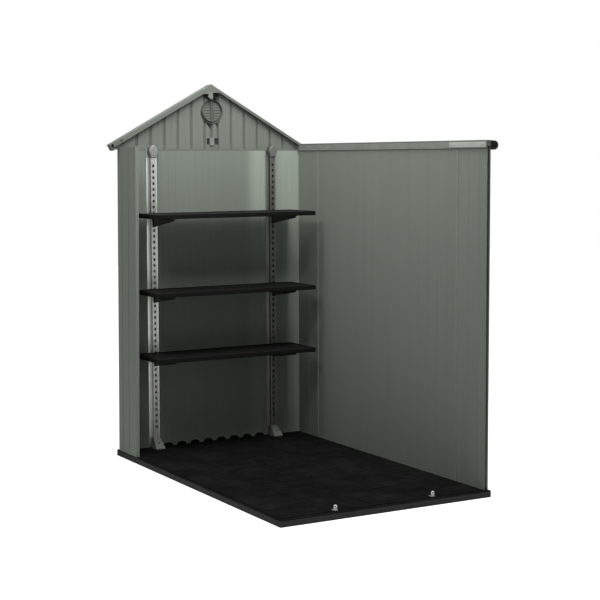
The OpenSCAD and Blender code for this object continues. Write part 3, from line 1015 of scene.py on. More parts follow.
@dataclass
class Walls:
    """Rear and right wall panels, moulded as upright boards, with their joint strips."""

    inner_x: float = 0.563
    inner_y: float = 0.874
    thick: float = 0.020
    front: float = -0.894
    low: float = 0.032
    high: float = 1.690
    seam_x: float = 0.331
    seam_y: float = 0.662
    board: float = 0.0836
    outer: tuple = (0.007, 0.004)
    inner: tuple = (0.0026, 0.0007)
    margin: float = 0.008
    closed: tuple = (0.006, 0.011)
    corner: float = 0.003
    door_channel: tuple = (0.003, 0.014, 0.012, 0.0005)
    lean: tuple = (0.014, 0.019)
    crest: float = 0.014
    strip: tuple = (0.0095, 0.0025, 0.002)

    @property
    def outer_x(self) -> float:
        """Outer face of the side walls."""
        return self.inner_x + self.thick

    @property
    def outer_y(self) -> float:
        """Outer face of the rear wall."""
        return self.inner_y + self.thick

    def side(self, start: Point, end: Point, groove: tuple, pitch: float, phase: float) -> list:
        """One side of a panel's outline with its grooves.

        Args:
            start: first corner.
            end: last corner.
            groove: width and depth of the grooves.
            pitch: distance between grooves.
            phase: place of one groove on the side's own axis.

        Returns:
            The side's corners.
        """
        axis = 0 if abs(start[0] - end[0]) > abs(start[1] - end[1]) else 1
        sign = 1 if end[axis] > start[axis] else -1
        low, high = sorted((start[axis], end[axis]))
        first = math.ceil((low + self.margin - phase) / pitch)
        last = math.floor((high - self.margin - phase) / pitch)
        places = [sign * (phase + k * pitch - start[axis]) for k in range(first, last + 1)]
        return notched(start, end, places, *groove)

    def panel(self, outline: list) -> Shape:
        """Draws an outline up to the wall's height and closes its grooves at both ends.

        Args:
            outline: corners of the panel, seen from above.

        Returns:
            The panel.
        """
        shape = Shape()
        shape.prism(outline, Axis.Z, self.low, self.high)
        ends = [self.low + d for d in self.closed] + [self.high - d for d in self.closed]
        shape.cut(Axis.Z, ends)
        closed = self.closed[0] + 0.0005
        for v in shape.bm.verts:
            if v.co.z < self.low + closed or v.co.z > self.high - closed:
                self.flush(v.co)
        return shape

    def flush(self, co: Vector) -> None:
        """Moves a groove's bottom point out to the face it was cut into.

        Args:
            co: the point, which is changed.
        """
        for axis, inner, outer in (
            (1, self.inner_y, self.outer_y), (0, self.inner_x, self.outer_x)
        ):
            size = abs(co[axis])
            if inner + TINY < size < outer - TINY:
                side = 1 if co[axis] > 0 else -1
                co[axis] = side * (inner if size - inner < outer - size else outer)
                return

    def rear_middle(self) -> None:
        """The middle panel of the rear wall."""
        half, seam, iy, oy = self.board / 2, self.seam_x, self.inner_y, self.outer_y
        outside = self.side((-seam, oy), (seam, oy), self.outer, self.board, half)
        inside = self.side((seam, iy), (-seam, iy), self.inner, half, half / 2)
        panel = self.panel(outside + [(seam, oy)] + inside + [(-seam, iy)])
        panel.piece("rear_middle_boards", WALL, "rear_middle_panel")

    def rear_corner(self, side: Side) -> None:
        """One L-shaped corner panel, of which the left one leans.

        Args:
            side: the side of the shed.
        """
        board, half, sx, sy = self.board, self.board / 2, self.seam_x, self.seam_y
        ox, oy, ix, iy = self.outer_x, self.outer_y, self.inner_x, self.inner_y
        outline = (
            self.side((-ox, oy), (-sx, oy), self.outer, board, half)
            + [(-sx, oy)]
            + self.side((-sx, iy), (-ix, iy), self.inner, half, half / 2)
            + self.side((-ix, iy), (-ix, sy), self.inner, board, 0)
            + [(-ix, sy)]
            + self.side((-ox, sy), (-ox, oy), self.outer, board, 0)
        )
        corner = self.panel([(-side.value * x, y) for x, y in outline])
        corner.round_edges(
            self.corner, 2, lambda p: abs(p.x) > ox - TINY and p.y > oy - TINY
        )
        if side is Side.LEFT:
            self.slacken(corner)
        name = f"rear_{side.label}_corner"
        corner.piece(name + "_boards", WALL, name + "_panel")

    def slacken(self, corner: Shape) -> None:
        """Lets the cut-off left wall, which nothing holds, lean inwards and stand up to the roof.

        Args:
            corner: the corner panel.
        """
        near, far = self.lean
        for v in corner.bm.verts:
            x, y, z = v.co
            free = (self.inner_y - y) / (self.inner_y - self.seam_y)
            share = (-self.seam_x - x) / (self.outer_x - self.seam_x)
            share = max(0.0, min(1.0, share)) * (z - self.low) / (self.high - self.low)
            v.co.x += share * (near + (far - near) * max(0.0, free))
            if x < -self.inner_x + TINY and z > self.high - TINY and free > 0:
                v.co.z += self.crest

    def right_panel(self, y0: float, y1: float, name: str) -> None:
        """One panel of the right wall, with a channel in its end where it is the front one.

        Args:
            y0: its front end.
            y1: its rear end.
            name: the panel's name.
        """
        ix, ox = self.inner_x, self.outer_x
        outline = self.side((ox, y1), (ox, y0), self.outer, self.board, 0) + [(ox, y0)]
        if y0 == self.front:
            near, far, deep, draft = self.door_channel
            outline += [(ix + far, y0), (ix + far - draft, y0 + deep),
                        (ix + near + draft, y0 + deep), (ix + near, y0)]
        outline += self.side((ix, y0), (ix, y1), self.inner, self.board, 0) + [(ix, y1)]
        self.panel(outline).piece(f"{name}_boards", WALL, f"{name}_panel")

    def strips(self) -> None:
        """Raised strips that cover the joints between panels."""
        wide, proud, slope = self.strip
        section = [(-wide, 0), (slope - wide, -proud), (wide - slope, -proud), (wide, 0)]
        for side in Side:
            x, name = side.value * self.seam_x, f"rear_{side.label}"
            shape = Shape()
            shape.prism([(x + u, self.inner_y + v) for u, v in section],
                        Axis.Z, self.low + 0.020, self.high - 0.004)
            shape.piece(name + "_joint", WALL, name + "_seam_strip")
        for y, name in ((self.seam_y, "right_rear"), (-self.seam_y, "right_front")):
            shape = Shape()
            shape.prism([(self.inner_x + v, y + u) for u, v in section],
                        Axis.Z, self.low + 0.001, self.high - 0.013)
            shape.piece(name + "_joint", TRIM, name + "_seam_strip")

    def build(self) -> None:
        """Makes the five panels and the four joint strips."""
        self.rear_middle()
        for side in Side:
            self.rear_corner(side)
        self.right_panel(-self.seam_y, self.seam_y, "right_middle")
        self.right_panel(self.front, -self.seam_y, "right_front")
        self.strips()


@dataclass(frozen=True)
class Slope:
    """One roof slope, by its underside at the ridge, rise along X and upright thickness."""

    under: float
    rise: float
    thick: float

    def height(self, away: float, top: bool) -> float:
        """Height of its top, or else its underside, at a distance along X from the ridge."""
        return self.under + self.rise * away + (self.thick if top else 0.0)

    def reach(self, height: float) -> float:
        """How far from the ridge its underside has this height."""
        return (height - self.under) / self.rise


@dataclass
class Gable:
    """Gable panel with its board grooves, vent, lock block, ridge socket and roof edge strips."""

    walls: Walls
    ridge_x: float = -0.015
    left_roof: Slope = Slope(2.02772, 0.5445, 0.0215)
    right_roof: Slope = Slope(2.0351, -0.569, 0.0172)
    rail_top: float = 1.712
    band_top: float = 1.714
    clear: float = 2.2
    groove: tuple = (0.026, 0.0065)
    faint_groove: tuple = (0.012, 0.0014)
    mid_groove: tuple = (0.024, 0.0065)
    lock: tuple = (0.030, 0.040, 0.015, 0.006)
    pockets: tuple = ((-0.0310, -0.0148), (0.0148, 0.0460))
    notches: tuple = (
        ((-0.038, 1.845), (-0.024, 1.820), (-0.011, 1.802), (-0.004, 1.800), (-0.004, 1.845)),
        ((0.018, 1.843), (0.024, 1.828), (0.036, 1.806), (0.0418, 1.806), (0.0418, 1.843)),
    )
    vent_z: float = 1.8977
    vent_r: float = 0.070
    vent_wall: float = 0.0065
    louvre: tuple = (0.015, 0.0115)
    bar: tuple = (0.0050, 0.0088)
    clamp: tuple = (-0.007, 1.9857)
    cap: float = 0.015
    collar: float = 0.046
    collar_step: float = 0.0078
    rake: tuple = (0.024, 0.006)
    lip: float = 0.006

    def under(self, x: float) -> float:
        """Height of the underside of the roof."""
        return min(s.height(x - self.ridge_x, False) for s in (self.left_roof, self.right_roof))

    def above(self, x: float) -> float:
        """Height of the top of the roof."""
        return min(s.height(x - self.ridge_x, True) for s in (self.left_roof, self.right_roof))

    def apex(self, top: bool) -> float:
        """Where the two slopes meet.

        Args:
            top: whether their tops are meant, or else their undersides.

        Returns:
            X of the meeting point.
        """
        left, right = self.left_roof, self.right_roof
        apart = right.height(0, top) - left.height(0, top)
        return self.ridge_x + apart / (left.rise - right.rise)

    def sunk(self, places: Iterable[float], groove: tuple, face: float, out: int,
             low: float, high: float) -> Shape:
        """Cutter of upright grooves.

        Args:
            places: X of each groove.
            groove: its width at the face, and its depth.
            face: Y of the face.
            out: the side of the face on which the air is.
            low: where the grooves start.
            high: where they end.

        Returns:
            The cutter.
        """
        wide, deep = groove
        half = ((0.5, 0.0), (0.38, 0.10), (0.27, 0.30), (0.18, 0.68), (0.14, 1.0))
        cutter = Shape()
        for x in places:
            air = face + out * 0.002
            right = [(x + wide * u, face - out * deep * v) for u, v in half]
            left = [(x - wide * u, face - out * deep * v) for u, v in reversed(half)]
            mouth = [(x - wide / 2, air), (x + wide / 2, air)]
            cutter.prism(mouth + right + left, Axis.Z, low, high)
        return cutter

    def grooves(self, piece: bpy.types.Object) -> None:
        """Cuts the grooves between the boards on both faces.

        Args:
            piece: the gable panel.
        """
        board, iy, wy = self.walls.board, self.walls.inner_y, self.walls.outer_y
        joints = [(k + 0.5) * board for k in range(-7, 7)]
        faint = [k * board for k in range(-6, 7) if k]
        sill, middle = self.walls.high + 0.008, self.band_top + self.lock[1] - 0.004
        for places, groove, face, out, low, high in (
            (joints[1:-1], self.groove, iy, -1, self.band_top, self.clear),
            (joints, self.walls.outer, wy, 1, sill, self.clear),
            (faint, self.faint_groove, iy, -1, self.band_top + 0.004, self.clear),
            ([0], self.mid_groove, iy, -1, middle, self.vent_z - 0.03),
        ):
            carve(piece, self.sunk(places, groove, face, out, low, high))

    def panel(self) -> None:
        """The gable panel, with its grooves, pockets, notches and the hole for the vent, and dark
        floors in the pockets and notches that paint their shade.
        """
        walls, top, band = self.walls, self.rail_top, self.band_top
        ix, wx, iy, wy = walls.inner_x, walls.outer_x, walls.inner_y, walls.outer_y
        end, peak = self.ridge_x + self.right_roof.reach(top), self.apex(False)
        shape = Shape()
        shape.prism(
            [(-wx, walls.high), (wx, walls.high), (wx, top), (end, top), (peak, self.under(peak)),
             (-ix, self.under(-ix)), (-ix, top), (-wx, top)],
            Axis.Y, iy, wy,
        )
        piece = shape.piece("gable_boards", GABLE, "gable_panel")
        self.grooves(piece)
        _, tall, deep, _ = self.lock
        # Dark floors in the pockets and notches paint the shade inside them.
        recess, shadow_floors = Shape(), Shape()
        for low, high in self.pockets:
            recess.block((low, iy - 0.002, band + 0.002), (high, iy + deep, band + tall - 0.003))
            shadow_floors.block((low, iy + 0.008, band + 0.0025),
                         (high, iy + deep + 0.001, band + tall - 0.0035))
        for k, notch in enumerate(self.notches):
            recess.prism(notch, Axis.Y, iy - 0.0021 - k * 0.0001, iy + deep)
            lowered = [(x, z - 0.0005) for x, z in notch]
            shadow_floors.prism(lowered, Axis.Y, iy + 0.007, iy + deep + 0.0015)
        recess.block((-wx - 0.01, iy - 0.003, walls.high - 0.001),
                     (wx + 0.01, iy + 0.0015, walls.high + 0.0012))
        carve(piece, recess)
        hole, rim = Shape(), self.vent_r - self.vent_wall
        hole.disc(rim, iy - 0.01, wy + 0.01, (0, 0, self.vent_z), Axis.Y, 64)
        carve(piece, hole)
        shadow_floors.piece("gable_pocket_shadow_floors", SHADOW_FILL, "gable_panel")

    def vent(self) -> None:
        """Round louvred vent in a sunken ring, with black netting behind the louvres."""
        iy, wy, z, centre = self.walls.inner_y, self.walls.outer_y, self.vent_z, (0, 0, self.vent_z)
        r, bore, ring = self.vent_r, self.vent_r - self.vent_wall, self.vent_r - 0.0160
        inner, proud = ring - 0.0030, iy - 0.0045
        edge = (inner + ring) / 2
        pitch, tall = self.louvre
        rows = int(inner / pitch) + 1
        shape = Shape()
        shape.turned(
            [(inner, iy + 0.001), (inner, iy - 0.0035), (inner + 0.0008, proud),
             (ring - 0.0008, proud), (ring, iy - 0.0035), (ring + 0.001, iy + 0.0015),
             (bore - 0.0015, iy + 0.0015), (bore - 0.001, iy - 0.0005), (r - 0.004, iy - 0.002),
             (r - 0.001, iy - 0.0015), (r, iy - 0.0001), (bore, iy - 0.0001), (bore, wy + 0.0015),
             (bore - 0.001, wy + 0.002), (inner, wy + 0.002)],
            centre, Axis.Y, 72,
        )
        for k in range(1 - rows, rows):
            at, away = z + k * pitch, abs(k) * pitch + pitch * 0.3
            half = math.sqrt(max(inner**2 - away**2, 0)) + 0.0012
            slat = [(wy - 0.004, at + tall / 2), (wy + 0.001, at - tall / 2 + 0.003),
                    (wy + 0.0005, at - tall / 2), (wy - 0.004, at - tall * 0.2)]
            shape.prism(slat, Axis.X, -half, half)
        bar, gap = self.bar
        shape.block((-bar, proud - 0.0001, z - edge), (bar, iy + 0.004, z + edge))
        shape.piece("vent_ring", VENT, "gable_vent")
        saw = [(iy + 0.006, z - rows * pitch)]
        for k in range(-rows, rows):
            low = z + (k + 0.5) * pitch
            saw += [(iy - 0.0026, low + 0.0004), (iy - 0.0040, low + 0.0016),
                    (iy - 0.0038, low + 0.0040), (iy - 0.0018, low + pitch)]
        saw.append((iy + 0.006, z + (rows + 0.5) * pitch))
        slats = Shape()
        slats.prism(saw, Axis.X, -ring, ring)
        louvres = slats.piece("vent_louvres", VENT, "gable_vent")
        front, back, wide = iy - 0.01, iy + 0.01, 0.15
        trim = Shape()
        trim.turned([(edge, front), (wide, front), (wide, back), (edge, back)], centre, Axis.Y, 64)
        for low, high in ((-gap, -bar), (bar, gap)):
            reach = inner * 0.98
            trim.block((low, front, z - reach), (high, iy + 0.0005, z + reach))
        carve(louvres, trim)
        net = Shape()
        net.disc(bore - 0.001, iy + 0.009, iy + 0.011, centre, Axis.Y, 48)
        net.piece("vent_net", BLACK, "gable_vent")

    def lock_block(self) -> None:
        """Block between the two pockets, with a sunken face."""
        iy, (wide, tall, _, proud) = self.walls.inner_y, self.lock
        half = wide / 2 - 0.001
        shape = Shape()
        shape.block((-half, iy - proud, self.band_top - 0.004),
                    (half, iy + 0.0005, self.band_top + tall))
        shape.round_edges(0.002, 2, lambda p: p.y < iy - 0.001)
        front = shape.pick(lambda p, n: n.y < -FACING and p.y < iy - proud + 0.0005)
        shape.inset(front, 0.0065, -0.0015)
        shape.piece("lock_block", TRIM, "gable_lock_block")

    def socket(self) -> None:
        """Claw under the ridge between two black clamps and dark backing plates, which paint the
        shade in the gaps beside it.
        """
        iy, (x, z), foot = self.walls.inner_y, self.clamp, self.vent_z + self.vent_r - 0.001
        left, right = self.ridge_x - 0.0152, self.ridge_x + 0.0138
        claw = Shape()
        claw.prism(
            [(left, foot + 0.041), (left, foot + 0.015), (left + 0.0015, foot + 0.010),
             (left + 0.005, foot + 0.006), (left + 0.011, foot + 0.0025), (left + 0.019, foot),
             (right, foot), (right, foot + 0.041)],
            Axis.Y, iy - self.rake[0] - 0.0008, iy + 0.0005,
        )
        claw.round_edges(0.0025, 3, lambda p: p.y < iy - 0.001 and p.z < foot + 0.036)
        claw.piece("ridge_claw", GABLE, "ridge_socket")
        # Dark plates and black clamps paint the shade in the gaps beside the claw.
        shadow_plates = Shape()
        for plate in (
            [(right + 0.004, foot + 0.040), (right + 0.004, foot - 0.004),
             (0.018, foot - 0.009), (0.036, foot - 0.004), (0.036, foot + 0.034)],
            [(-0.050, foot + 0.031), (-0.046, foot + 0.014),
             (left - 0.002, foot + 0.010), (left - 0.002, foot + 0.031)],
        ):
            shadow_plates.prism(plate, Axis.Y, iy - 0.004, iy + 0.0002)
        shadow_plates.piece("ridge_clamp_shadow_plates", SHADOW_FILL, "ridge_socket")
        shadow_clamps = Shape()
        for path in (
            [(-0.0405, 0.004), (-0.031, 0.0085), (-0.023, 0.0085),
             (-0.0195, -0.002), (-0.0185, -0.010), (-0.016, -0.0165)],
            [(0.0405, 0.002), (0.034, 0.0085), (0.026, 0.0105), (0.0195, 0.008),
             (0.0190, -0.002), (0.022, -0.010), (0.030, -0.0165)],
        ):
            strap = ribbon([(x + dx, z + dz) for dx, dz in path], 0.0036)
            shadow_clamps.prism(strap, Axis.Y, iy - 0.014, iy + GAP)
        shadow_clamps.round_edges(0.001, 2, lambda p: p.y < iy - 0.001)
        shadow_clamps.piece("ridge_shadow_clamps", BLACK, "ridge_socket")

    def roof_edge(self, eave: float, nose: tuple) -> None:
        """Sloping strips of roof left above the gable, and the cap between them.

        Args:
            eave: height of the right drip edge where it starts at the wall.
            nose: X and height of the top of its rolled nose.
        """
        ix, iy, x0, c = self.walls.inner_x, self.walls.inner_y, self.ridge_x, self.cap
        low, high = iy - self.rake[0], self.walls.outer_y + self.rake[1]
        lift = (eave - nose[1]) / (nose[0] - ix)
        run = (eave - self.above(ix)) / (self.right_roof.rise + lift)
        ends = {
            Side.LEFT: [(-ix, self.above(-ix)), (-ix, self.under(-ix))],
            Side.RIGHT: [(ix + run, self.above(ix + run)), (ix, eave), (ix, self.under(ix))],
        }
        for side in Side:
            start = x0 + side.value * c
            shape = Shape()
            shape.prism([(start, self.above(start)), *ends[side], (start, self.under(start))],
                        Axis.Y, low, high)
            shape.round_edges(0.0010, 2, lambda p: p.y < low + 0.001 and abs(p.x) < ix - 0.001)
            if side is Side.LEFT:
                (x1, z1), (x2, z2) = [(x, self.under(x)) for x in (-ix, x0 - self.collar)]
                shape.prism(
                    [(x1, z1 + 0.002), (x2, z2 + 0.002), (x2, z2 - self.lip), (x1, z1 - self.lip)],
                    Axis.Y, low + 0.0002, iy - GAP,
                )
            shape.piece(f"roof_edge_{side.label}", EDGE, f"rake_strip_{side.label}")
        self.ridge_cap(low, high)

    def ridge_cap(self, low: float, high: float) -> None:
        """Cap over the ridge, with a stepped collar under it.

        Args:
            low: the roof strips' front face.
            high: their rear face.
        """
        x0, c, rise, flank = self.ridge_x, self.cap, 0.0006, 0.0018
        hollow, peak = self.apex(False), self.apex(True)
        shape = Shape()
        shape.prism(
            [(x0 - c, self.under(x0 - c)), (hollow, self.under(hollow)),
             (x0 + c, self.under(x0 + c)), (x0 + c, self.above(x0 + c) + rise),
             (peak + 0.003, self.above(peak + flank)), (peak - 0.003, self.above(peak - flank)),
             (x0 - c, self.above(x0 - c) + rise)],
            Axis.Y, low - 0.0004, high + 0.002,
        )
        start = x0 - self.collar
        flat = self.under(start) - self.lip
        step = flat + self.collar_step
        shape.prism(
            [(start, flat), (x0, flat), (x0, step), (x0 + self.right_roof.reach(step), step),
             (hollow, self.under(hollow)), (start, flat + self.lip)],
            Axis.Y, low + 0.0002, self.walls.inner_y - GAP,
        )
        shape.piece("roof_ridge_cap", EDGE, "ridge_cap")

    def build(self) -> None:
        """Makes every piece of the gable below the roof."""
        self.panel()
        self.vent()
        self.lock_block()
        self.socket()


@dataclass
class Eaves:
    """Drip edges on both sides, the rail along the right wall and its pale cover strip."""

    walls: Walls
    gable: Gable
    reach: float = 0.629
    nose: float = 0.022
    nose_rise: float = 0.005
    hook: float = 0.009
    skin: float = 0.005
    rise: float = 0.0075
    channel: tuple = (0.0735, 0.0370, 0.0040, 0.024)
    square: float = 0.878
    # thickness of the dark plugs that paint the shade inside the drip edges
    shadow_plug: float = 0.004
    rail_lip: tuple = (0.005, 0.010)
    cover: tuple = (0.292, 0.003)

    @property
    def nose_centre(self) -> tuple:
        """X and height of the centre of the right drip edge's rolled nose."""
        return self.reach - self.nose, self.gable.rail_top - self.nose + self.nose_rise

    def profile(self) -> list:
        """Outline of the right drip edge, seen along Y."""
        ix, wx, top = self.walls.inner_x, self.walls.outer_x + 0.005, self.gable.rail_top
        (nx, nz), r, skin = self.nose_centre, self.nose, self.skin
        hook = nx - self.hook
        return (
            [(ix, top), (ix, top + self.rise)]
            + arc((nx, nz), r, 90, -180, 20)
            + [(hook, nz - r), (hook, nz - r + skin)]
            + arc((nx, nz), r - skin, -90, 180, 20)
            + [(wx, top + 0.002), (wx, top)]
        )

    def right_edge(self) -> None:
        """The rolled drip edge along the right wall, with dark plugs inside its ends that paint the
        shade of its hollow.
        """
        low, high, (nx, nz) = self.walls.front, self.walls.outer_y, self.nose_centre
        shape = Shape()
        shape.prism(self.profile(), Axis.Y, low, high)
        shape.round_edges(0.0008, 2, lambda p: p.y < low + 0.001 or p.y > high - 0.001)
        shape.piece("drip_edge_right", ROOF, "eave_profile_right")
        # Dark plugs inside both ends paint the shade of the hollow nose.
        shadow_plugs = Shape()
        for start in (low + 0.008, high - 0.012):
            end = start + self.shadow_plug
            shadow_plugs.disc(self.nose - 0.002, start, end, (nx, 0, nz), Axis.Y, 32)
        shadow_plugs.piece("drip_edge_right_shadow_plugs", SHADOW_FILL, "eave_profile_right")

    def slanted(self, corners: Iterable[Point]) -> list:
        """Turns distances down the left roof slope, and square to it, into X and height.

        Args:
            corners: the distances, from the top of the roof over the wall's inner face.

        Returns:
            The X and height of each corner.
        """
        ix, roof = self.walls.inner_x, self.gable.left_roof
        top, c = self.gable.under(-ix) + roof.thick, 1 / math.sqrt(1 + roof.rise**2)
        d = roof.rise * c
        return [(-ix - u * c + v * d, top - u * d - v * c) for u, v in corners]

    def left_edge(self) -> None:
        """The left drip edge: a board with a channel wrapped round it, cut open at both ends."""
        walls, top = self.walls, self.gable.rail_top
        low, high = walls.inner_y - self.gable.rake[0], walls.outer_y + self.gable.rake[1]
        tip, deep, skin, wrap = self.channel
        board = (self.gable.left_roof.thick + self.gable.lip) * self.square
        back, inner, floor = tip - wrap, tip - skin, deep - skin
        outline = self.slanted(
            [(0, 0), (tip, 0), (tip, deep), (back, deep), (back, floor), (inner, floor),
             (inner, skin), (back + 0.008, skin), (back + 0.008, board), (0, board)]
        )
        rest = self.slanted([(0.0005, board - 0.004), (0.016, board - 0.004)])
        rest += [(-walls.outer_x + 0.004, top), (-walls.inner_x - 0.0001, top)]
        rib = self.slanted(
            [(back + 0.009, board - 0.003), (inner + 0.001, floor - 0.001),
             (inner - 0.003, floor + 0.001), (back + 0.005, board - 0.001)]
        )
        shape = Shape()
        shape.prism(outline, Axis.Y, low, high)
        shape.prism(rest, Axis.Y, walls.inner_y, high - 0.001)
        shape.prism(rib, Axis.Y, low + 0.001, high - 0.001)

        def at_end(p: Vector) -> bool:
            """Whether an edge's middle lies at an open end."""
            return p.x < -walls.outer_x and not low + 0.0005 <= p.y <= high - 0.0005

        shape.round_edges(0.0008, 2, at_end)
        shape.piece("drip_edge_left", ROOF, "eave_end_left")
        mid = skin / 2
        hollow = self.slanted(
            [(back + 0.006, mid), (tip - mid, mid), (tip - mid, deep - mid),
             (back + 0.001, deep - mid), (back + 0.001, board - 0.002),
             (back + 0.006, board - 0.002)]
        )
        # Dark plugs inside both ends paint the shade of the hollow channel.
        shadow_plugs = Shape()
        for start in (low + 0.012, high - 0.016):
            shadow_plugs.prism(hollow, Axis.Y, start, start + self.shadow_plug)
        shadow_plugs.piece("drip_edge_left_shadow_plugs", SHADOW_FILL, "eave_end_left")

    def rail(self) -> None:
        """Rail along the top of the right wall and the cover strip on its front stretch."""
        ix, wx, front = self.walls.inner_x, self.walls.outer_x, self.walls.front
        low, top, (lip, drop) = self.walls.high, self.gable.rail_top, self.rail_lip
        outer = ix - lip
        shape = Shape()
        shape.prism(
            [(outer, top - 0.0005), (outer, low - drop), (outer + 0.0015, low - drop),
             (ix, low - drop + 0.002), (ix, low), (wx, low), (wx, top - 0.0005)],
            Axis.Y, front, self.walls.inner_y,
        )
        shape.round_edges(0.0012, 2, lambda p: p.x < ix - 0.001)
        shape.piece("top_rail", TRIM, "wall_top_rail")
        (long, thick), start = self.cover, front + 0.002
        cover = Shape()
        cover.block((outer - thick, start, low - 0.005),
                    (outer - 0.0001, start + long, top - 0.001))
        cover.round_edges(0.0012, 3, lambda p: p.x < outer - 0.001)
        for y in (front + 0.030, front + long - 0.026):
            cover.screw((outer - thick, y, low + 0.008), Axis.X, -1, 0.0035)
        cover.piece("rail_cover", PALE, "rail_cover_strip")

    def build(self) -> None:
        """Makes both drip edges, the roof edge between them, and the rail."""
        self.right_edge()
        self.left_edge()
        nx, nz = self.nose_centre
        self.gable.roof_edge(self.gable.rail_top + self.rise, (nx, nz + self.nose))
        self.rail()


@dataclass
class Shelving:
    """Two slotted steel uprights with caps and feet, and three black shelves on brackets."""

    walls: Walls
    post_x: float = 0.3755
    web: float = 0.029
    flange: float = 0.0175
    deep: float = 0.026
    sheet: float = 0.002
    slot: tuple = (0.012, 0.017, 0.0322)
    slots: tuple = (0.1312, 1.600)
    low: float = 0.036
    high: float = 1.690
    cap: tuple = (0.052, 0.038, 1.644, 1.712)
    cap_half: tuple = (
        (0.10, 1.0), (0.30, 0.96), (0.54, 0.88), (0.78, 0.77), (0.94, 0.65), (1.0, 0.53),
        (0.97, 0.42), (0.88, 0.31), (0.76, 0.20), (0.68, 0.10), (0.66, 0.0),
    )
    cap_crown: tuple = ((0.0008, 0.0022), (0.0016, 0.0018), (0.0030, 0.0012), (0.0040, 0.0008))
    foot: tuple = (0.056, 0.042, 0.0568, 0.084)
    foot_bore: tuple = (0.0058, 0.058)
    deck: float = 0.0332
    shelf: tuple = (0.980, 0.288, 0.024)
    shelf_rear: float = 0.8465
    rim: float = 0.009
    sunk: tuple = (0.0015, 0.0008)
    cells: tuple = (7, 2, 0.005)
    levels: tuple = (("bottom", 0.5690), ("middle", 0.9232), ("top", 1.3418))
    arm: tuple = (0.262, 0.050, 0.022)
    arm_half: float = 0.003
    hook_drop: float = 0.0076

    @property
    def face(self) -> float:
        """Y of the slotted face."""
        return self.walls.inner_y - self.deep

    @property
    def back(self) -> float:
        """Y of the backs that stand against the rear wall."""
        return self.walls.inner_y - 0.0002

    def upright(self, side: Side) -> None:
        """One hat-section upright with its row of slots.

        Args:
            side: the side of the shed.
        """
        x, back, h, t = side.value * self.post_x, self.back, self.web / 2, self.sheet
        front, edge = self.face, h + self.flange
        shape = Shape()
        shape.prism(
            [(x - edge, back), (x - h + t, back), (x - h + t, front + t), (x + h - t, front + t),
             (x + h - t, back), (x + edge, back), (x + edge, back - t), (x + h, back - t),
             (x + h, front), (x - h, front), (x - h, back - t), (x - edge, back - t)],
            Axis.Z, self.low, self.high,
        )
        inside = (self.low, self.high - 0.001)
        shape.round_edges(
            0.0014, 3, lambda p: p.y < front + 0.0005 and inside[0] < p.z < inside[1]
        )
        # the right upright takes the darker copy, painted shade
        finish = ZINC if side is Side.LEFT else SHADED_ZINC
        post = shape.piece(f"upright_{side.label}_post", finish, f"upright_{side.label}")
        (wide, tall, pitch), (lowest, highest) = self.slot, self.slots
        radius, reach = wide / 2, (tall - wide) / 2
        cutter = Shape()
        for k in range(int((highest - lowest) / pitch) + 1):
            z = highest - k * pitch
            slot = arc((x, z + reach), radius, 15, 150, 5)
            slot += arc((x, z - reach), radius, 195, 150, 5)
            cutter.prism(slot, Axis.Y, front - 0.001, front + t + 0.001)
        carve(post, cutter)

    def end_cap(self, side: Side) -> None:
        """Leaf-shaped cap over the top of an upright, crowned towards a pointed tip.

        Args:
            side: the side of the shed.
        """
        wide, deep, low, high = self.cap
        x, r, tall, face = side.value * self.post_x, wide / 2, high - low, self.back - deep
        rim = [(x + r * u, low + tall * v) for u, v in self.cap_half]
        rim += [(x - r * u, low + tall * v) for u, v in reversed(self.cap_half)]
        shape = Shape()
        shape.prism(rim, Axis.Y, face + 0.007, self.back)
        for inset, out in self.cap_crown:
            shape.inset(shape.pick(lambda p, n: n.y < -FACING), inset, out)
        shape.screw((x, face + 0.0012, low + 0.018), Axis.Y, -1, 0.0042)
        # the right cap takes the darker copy, painted shade
        finish = CAP if side is Side.LEFT else SHADED_CAP
        shape.piece(f"cap_{side.label}", finish, f"upright_cap_{side.label}")

    def post_foot(self, side: Side) -> None:
        """Wedge-shaped foot with a hole for its fixing screw.

        Args:
            side: the side of the shed.
        """
        wide, top, tall, reach = self.foot
        x, back, z = side.value * self.post_x, self.back, self.deck
        shape = Shape()
        verts = shape.prism(
            [(back, z), (back - reach, z), (back - reach, z + 0.006),
             (back - self.deep - 0.006, z + tall), (back, z + tall)],
            Axis.X, x - wide / 2, x + wide / 2,
        )
        for v in verts:
            if v.co.z > z + 0.02:
                v.co.x = x + (v.co.x - x) * top / wide
        shape.round_edges(0.003, 3, lambda p: p.z > z + 0.002)
        foot = shape.piece(f"foot_{side.label}", CAP, f"upright_foot_{side.label}")
        bore, (radius, out) = Shape(), self.foot_bore
        bore.disc(radius, z + 0.004, z + 0.08, (x, back - out, 0), Axis.Z, 24)
        carve(foot, bore)

    def shelf_board(self, level: str, z: float) -> None:
        """One shelf with a rim on top and open cells underneath.

        Args:
            level: the shelf's name.
            z: height of its top.
        """
        (wide, deep, thick), (columns, lines, skin) = self.shelf, self.cells
        x1, y1 = wide / 2, self.shelf_rear
        y0, rim = y1 - deep, self.rim
        shape = Shape()
        shape.block((-x1, y0, z - thick), (x1, y1, z))
        shape.round_edges(0.0030, 3)
        cell, line = (wide - 0.020) / columns, (deep - 0.018) / lines
        starts = [-x1 + 0.014 + i * cell for i in range(columns)]
        spans = [(start, start + cell - 0.008) for start in starts]
        starts = [y0 + 0.014 + j * line for j in range(lines)]
        rows = [(start, start + line - 0.010) for start in starts]
        shape.cut(Axis.X, [v for span in spans for v in span] + [rim - x1, x1 - rim])
        shape.cut(Axis.Y, [v for row in rows for v in row] + [y0 + rim, y1 - rim])

        def inside(value: float, low: float, high: float) -> bool:
            """Whether a value lies between two others."""
            return low + TINY < value < high - TINY

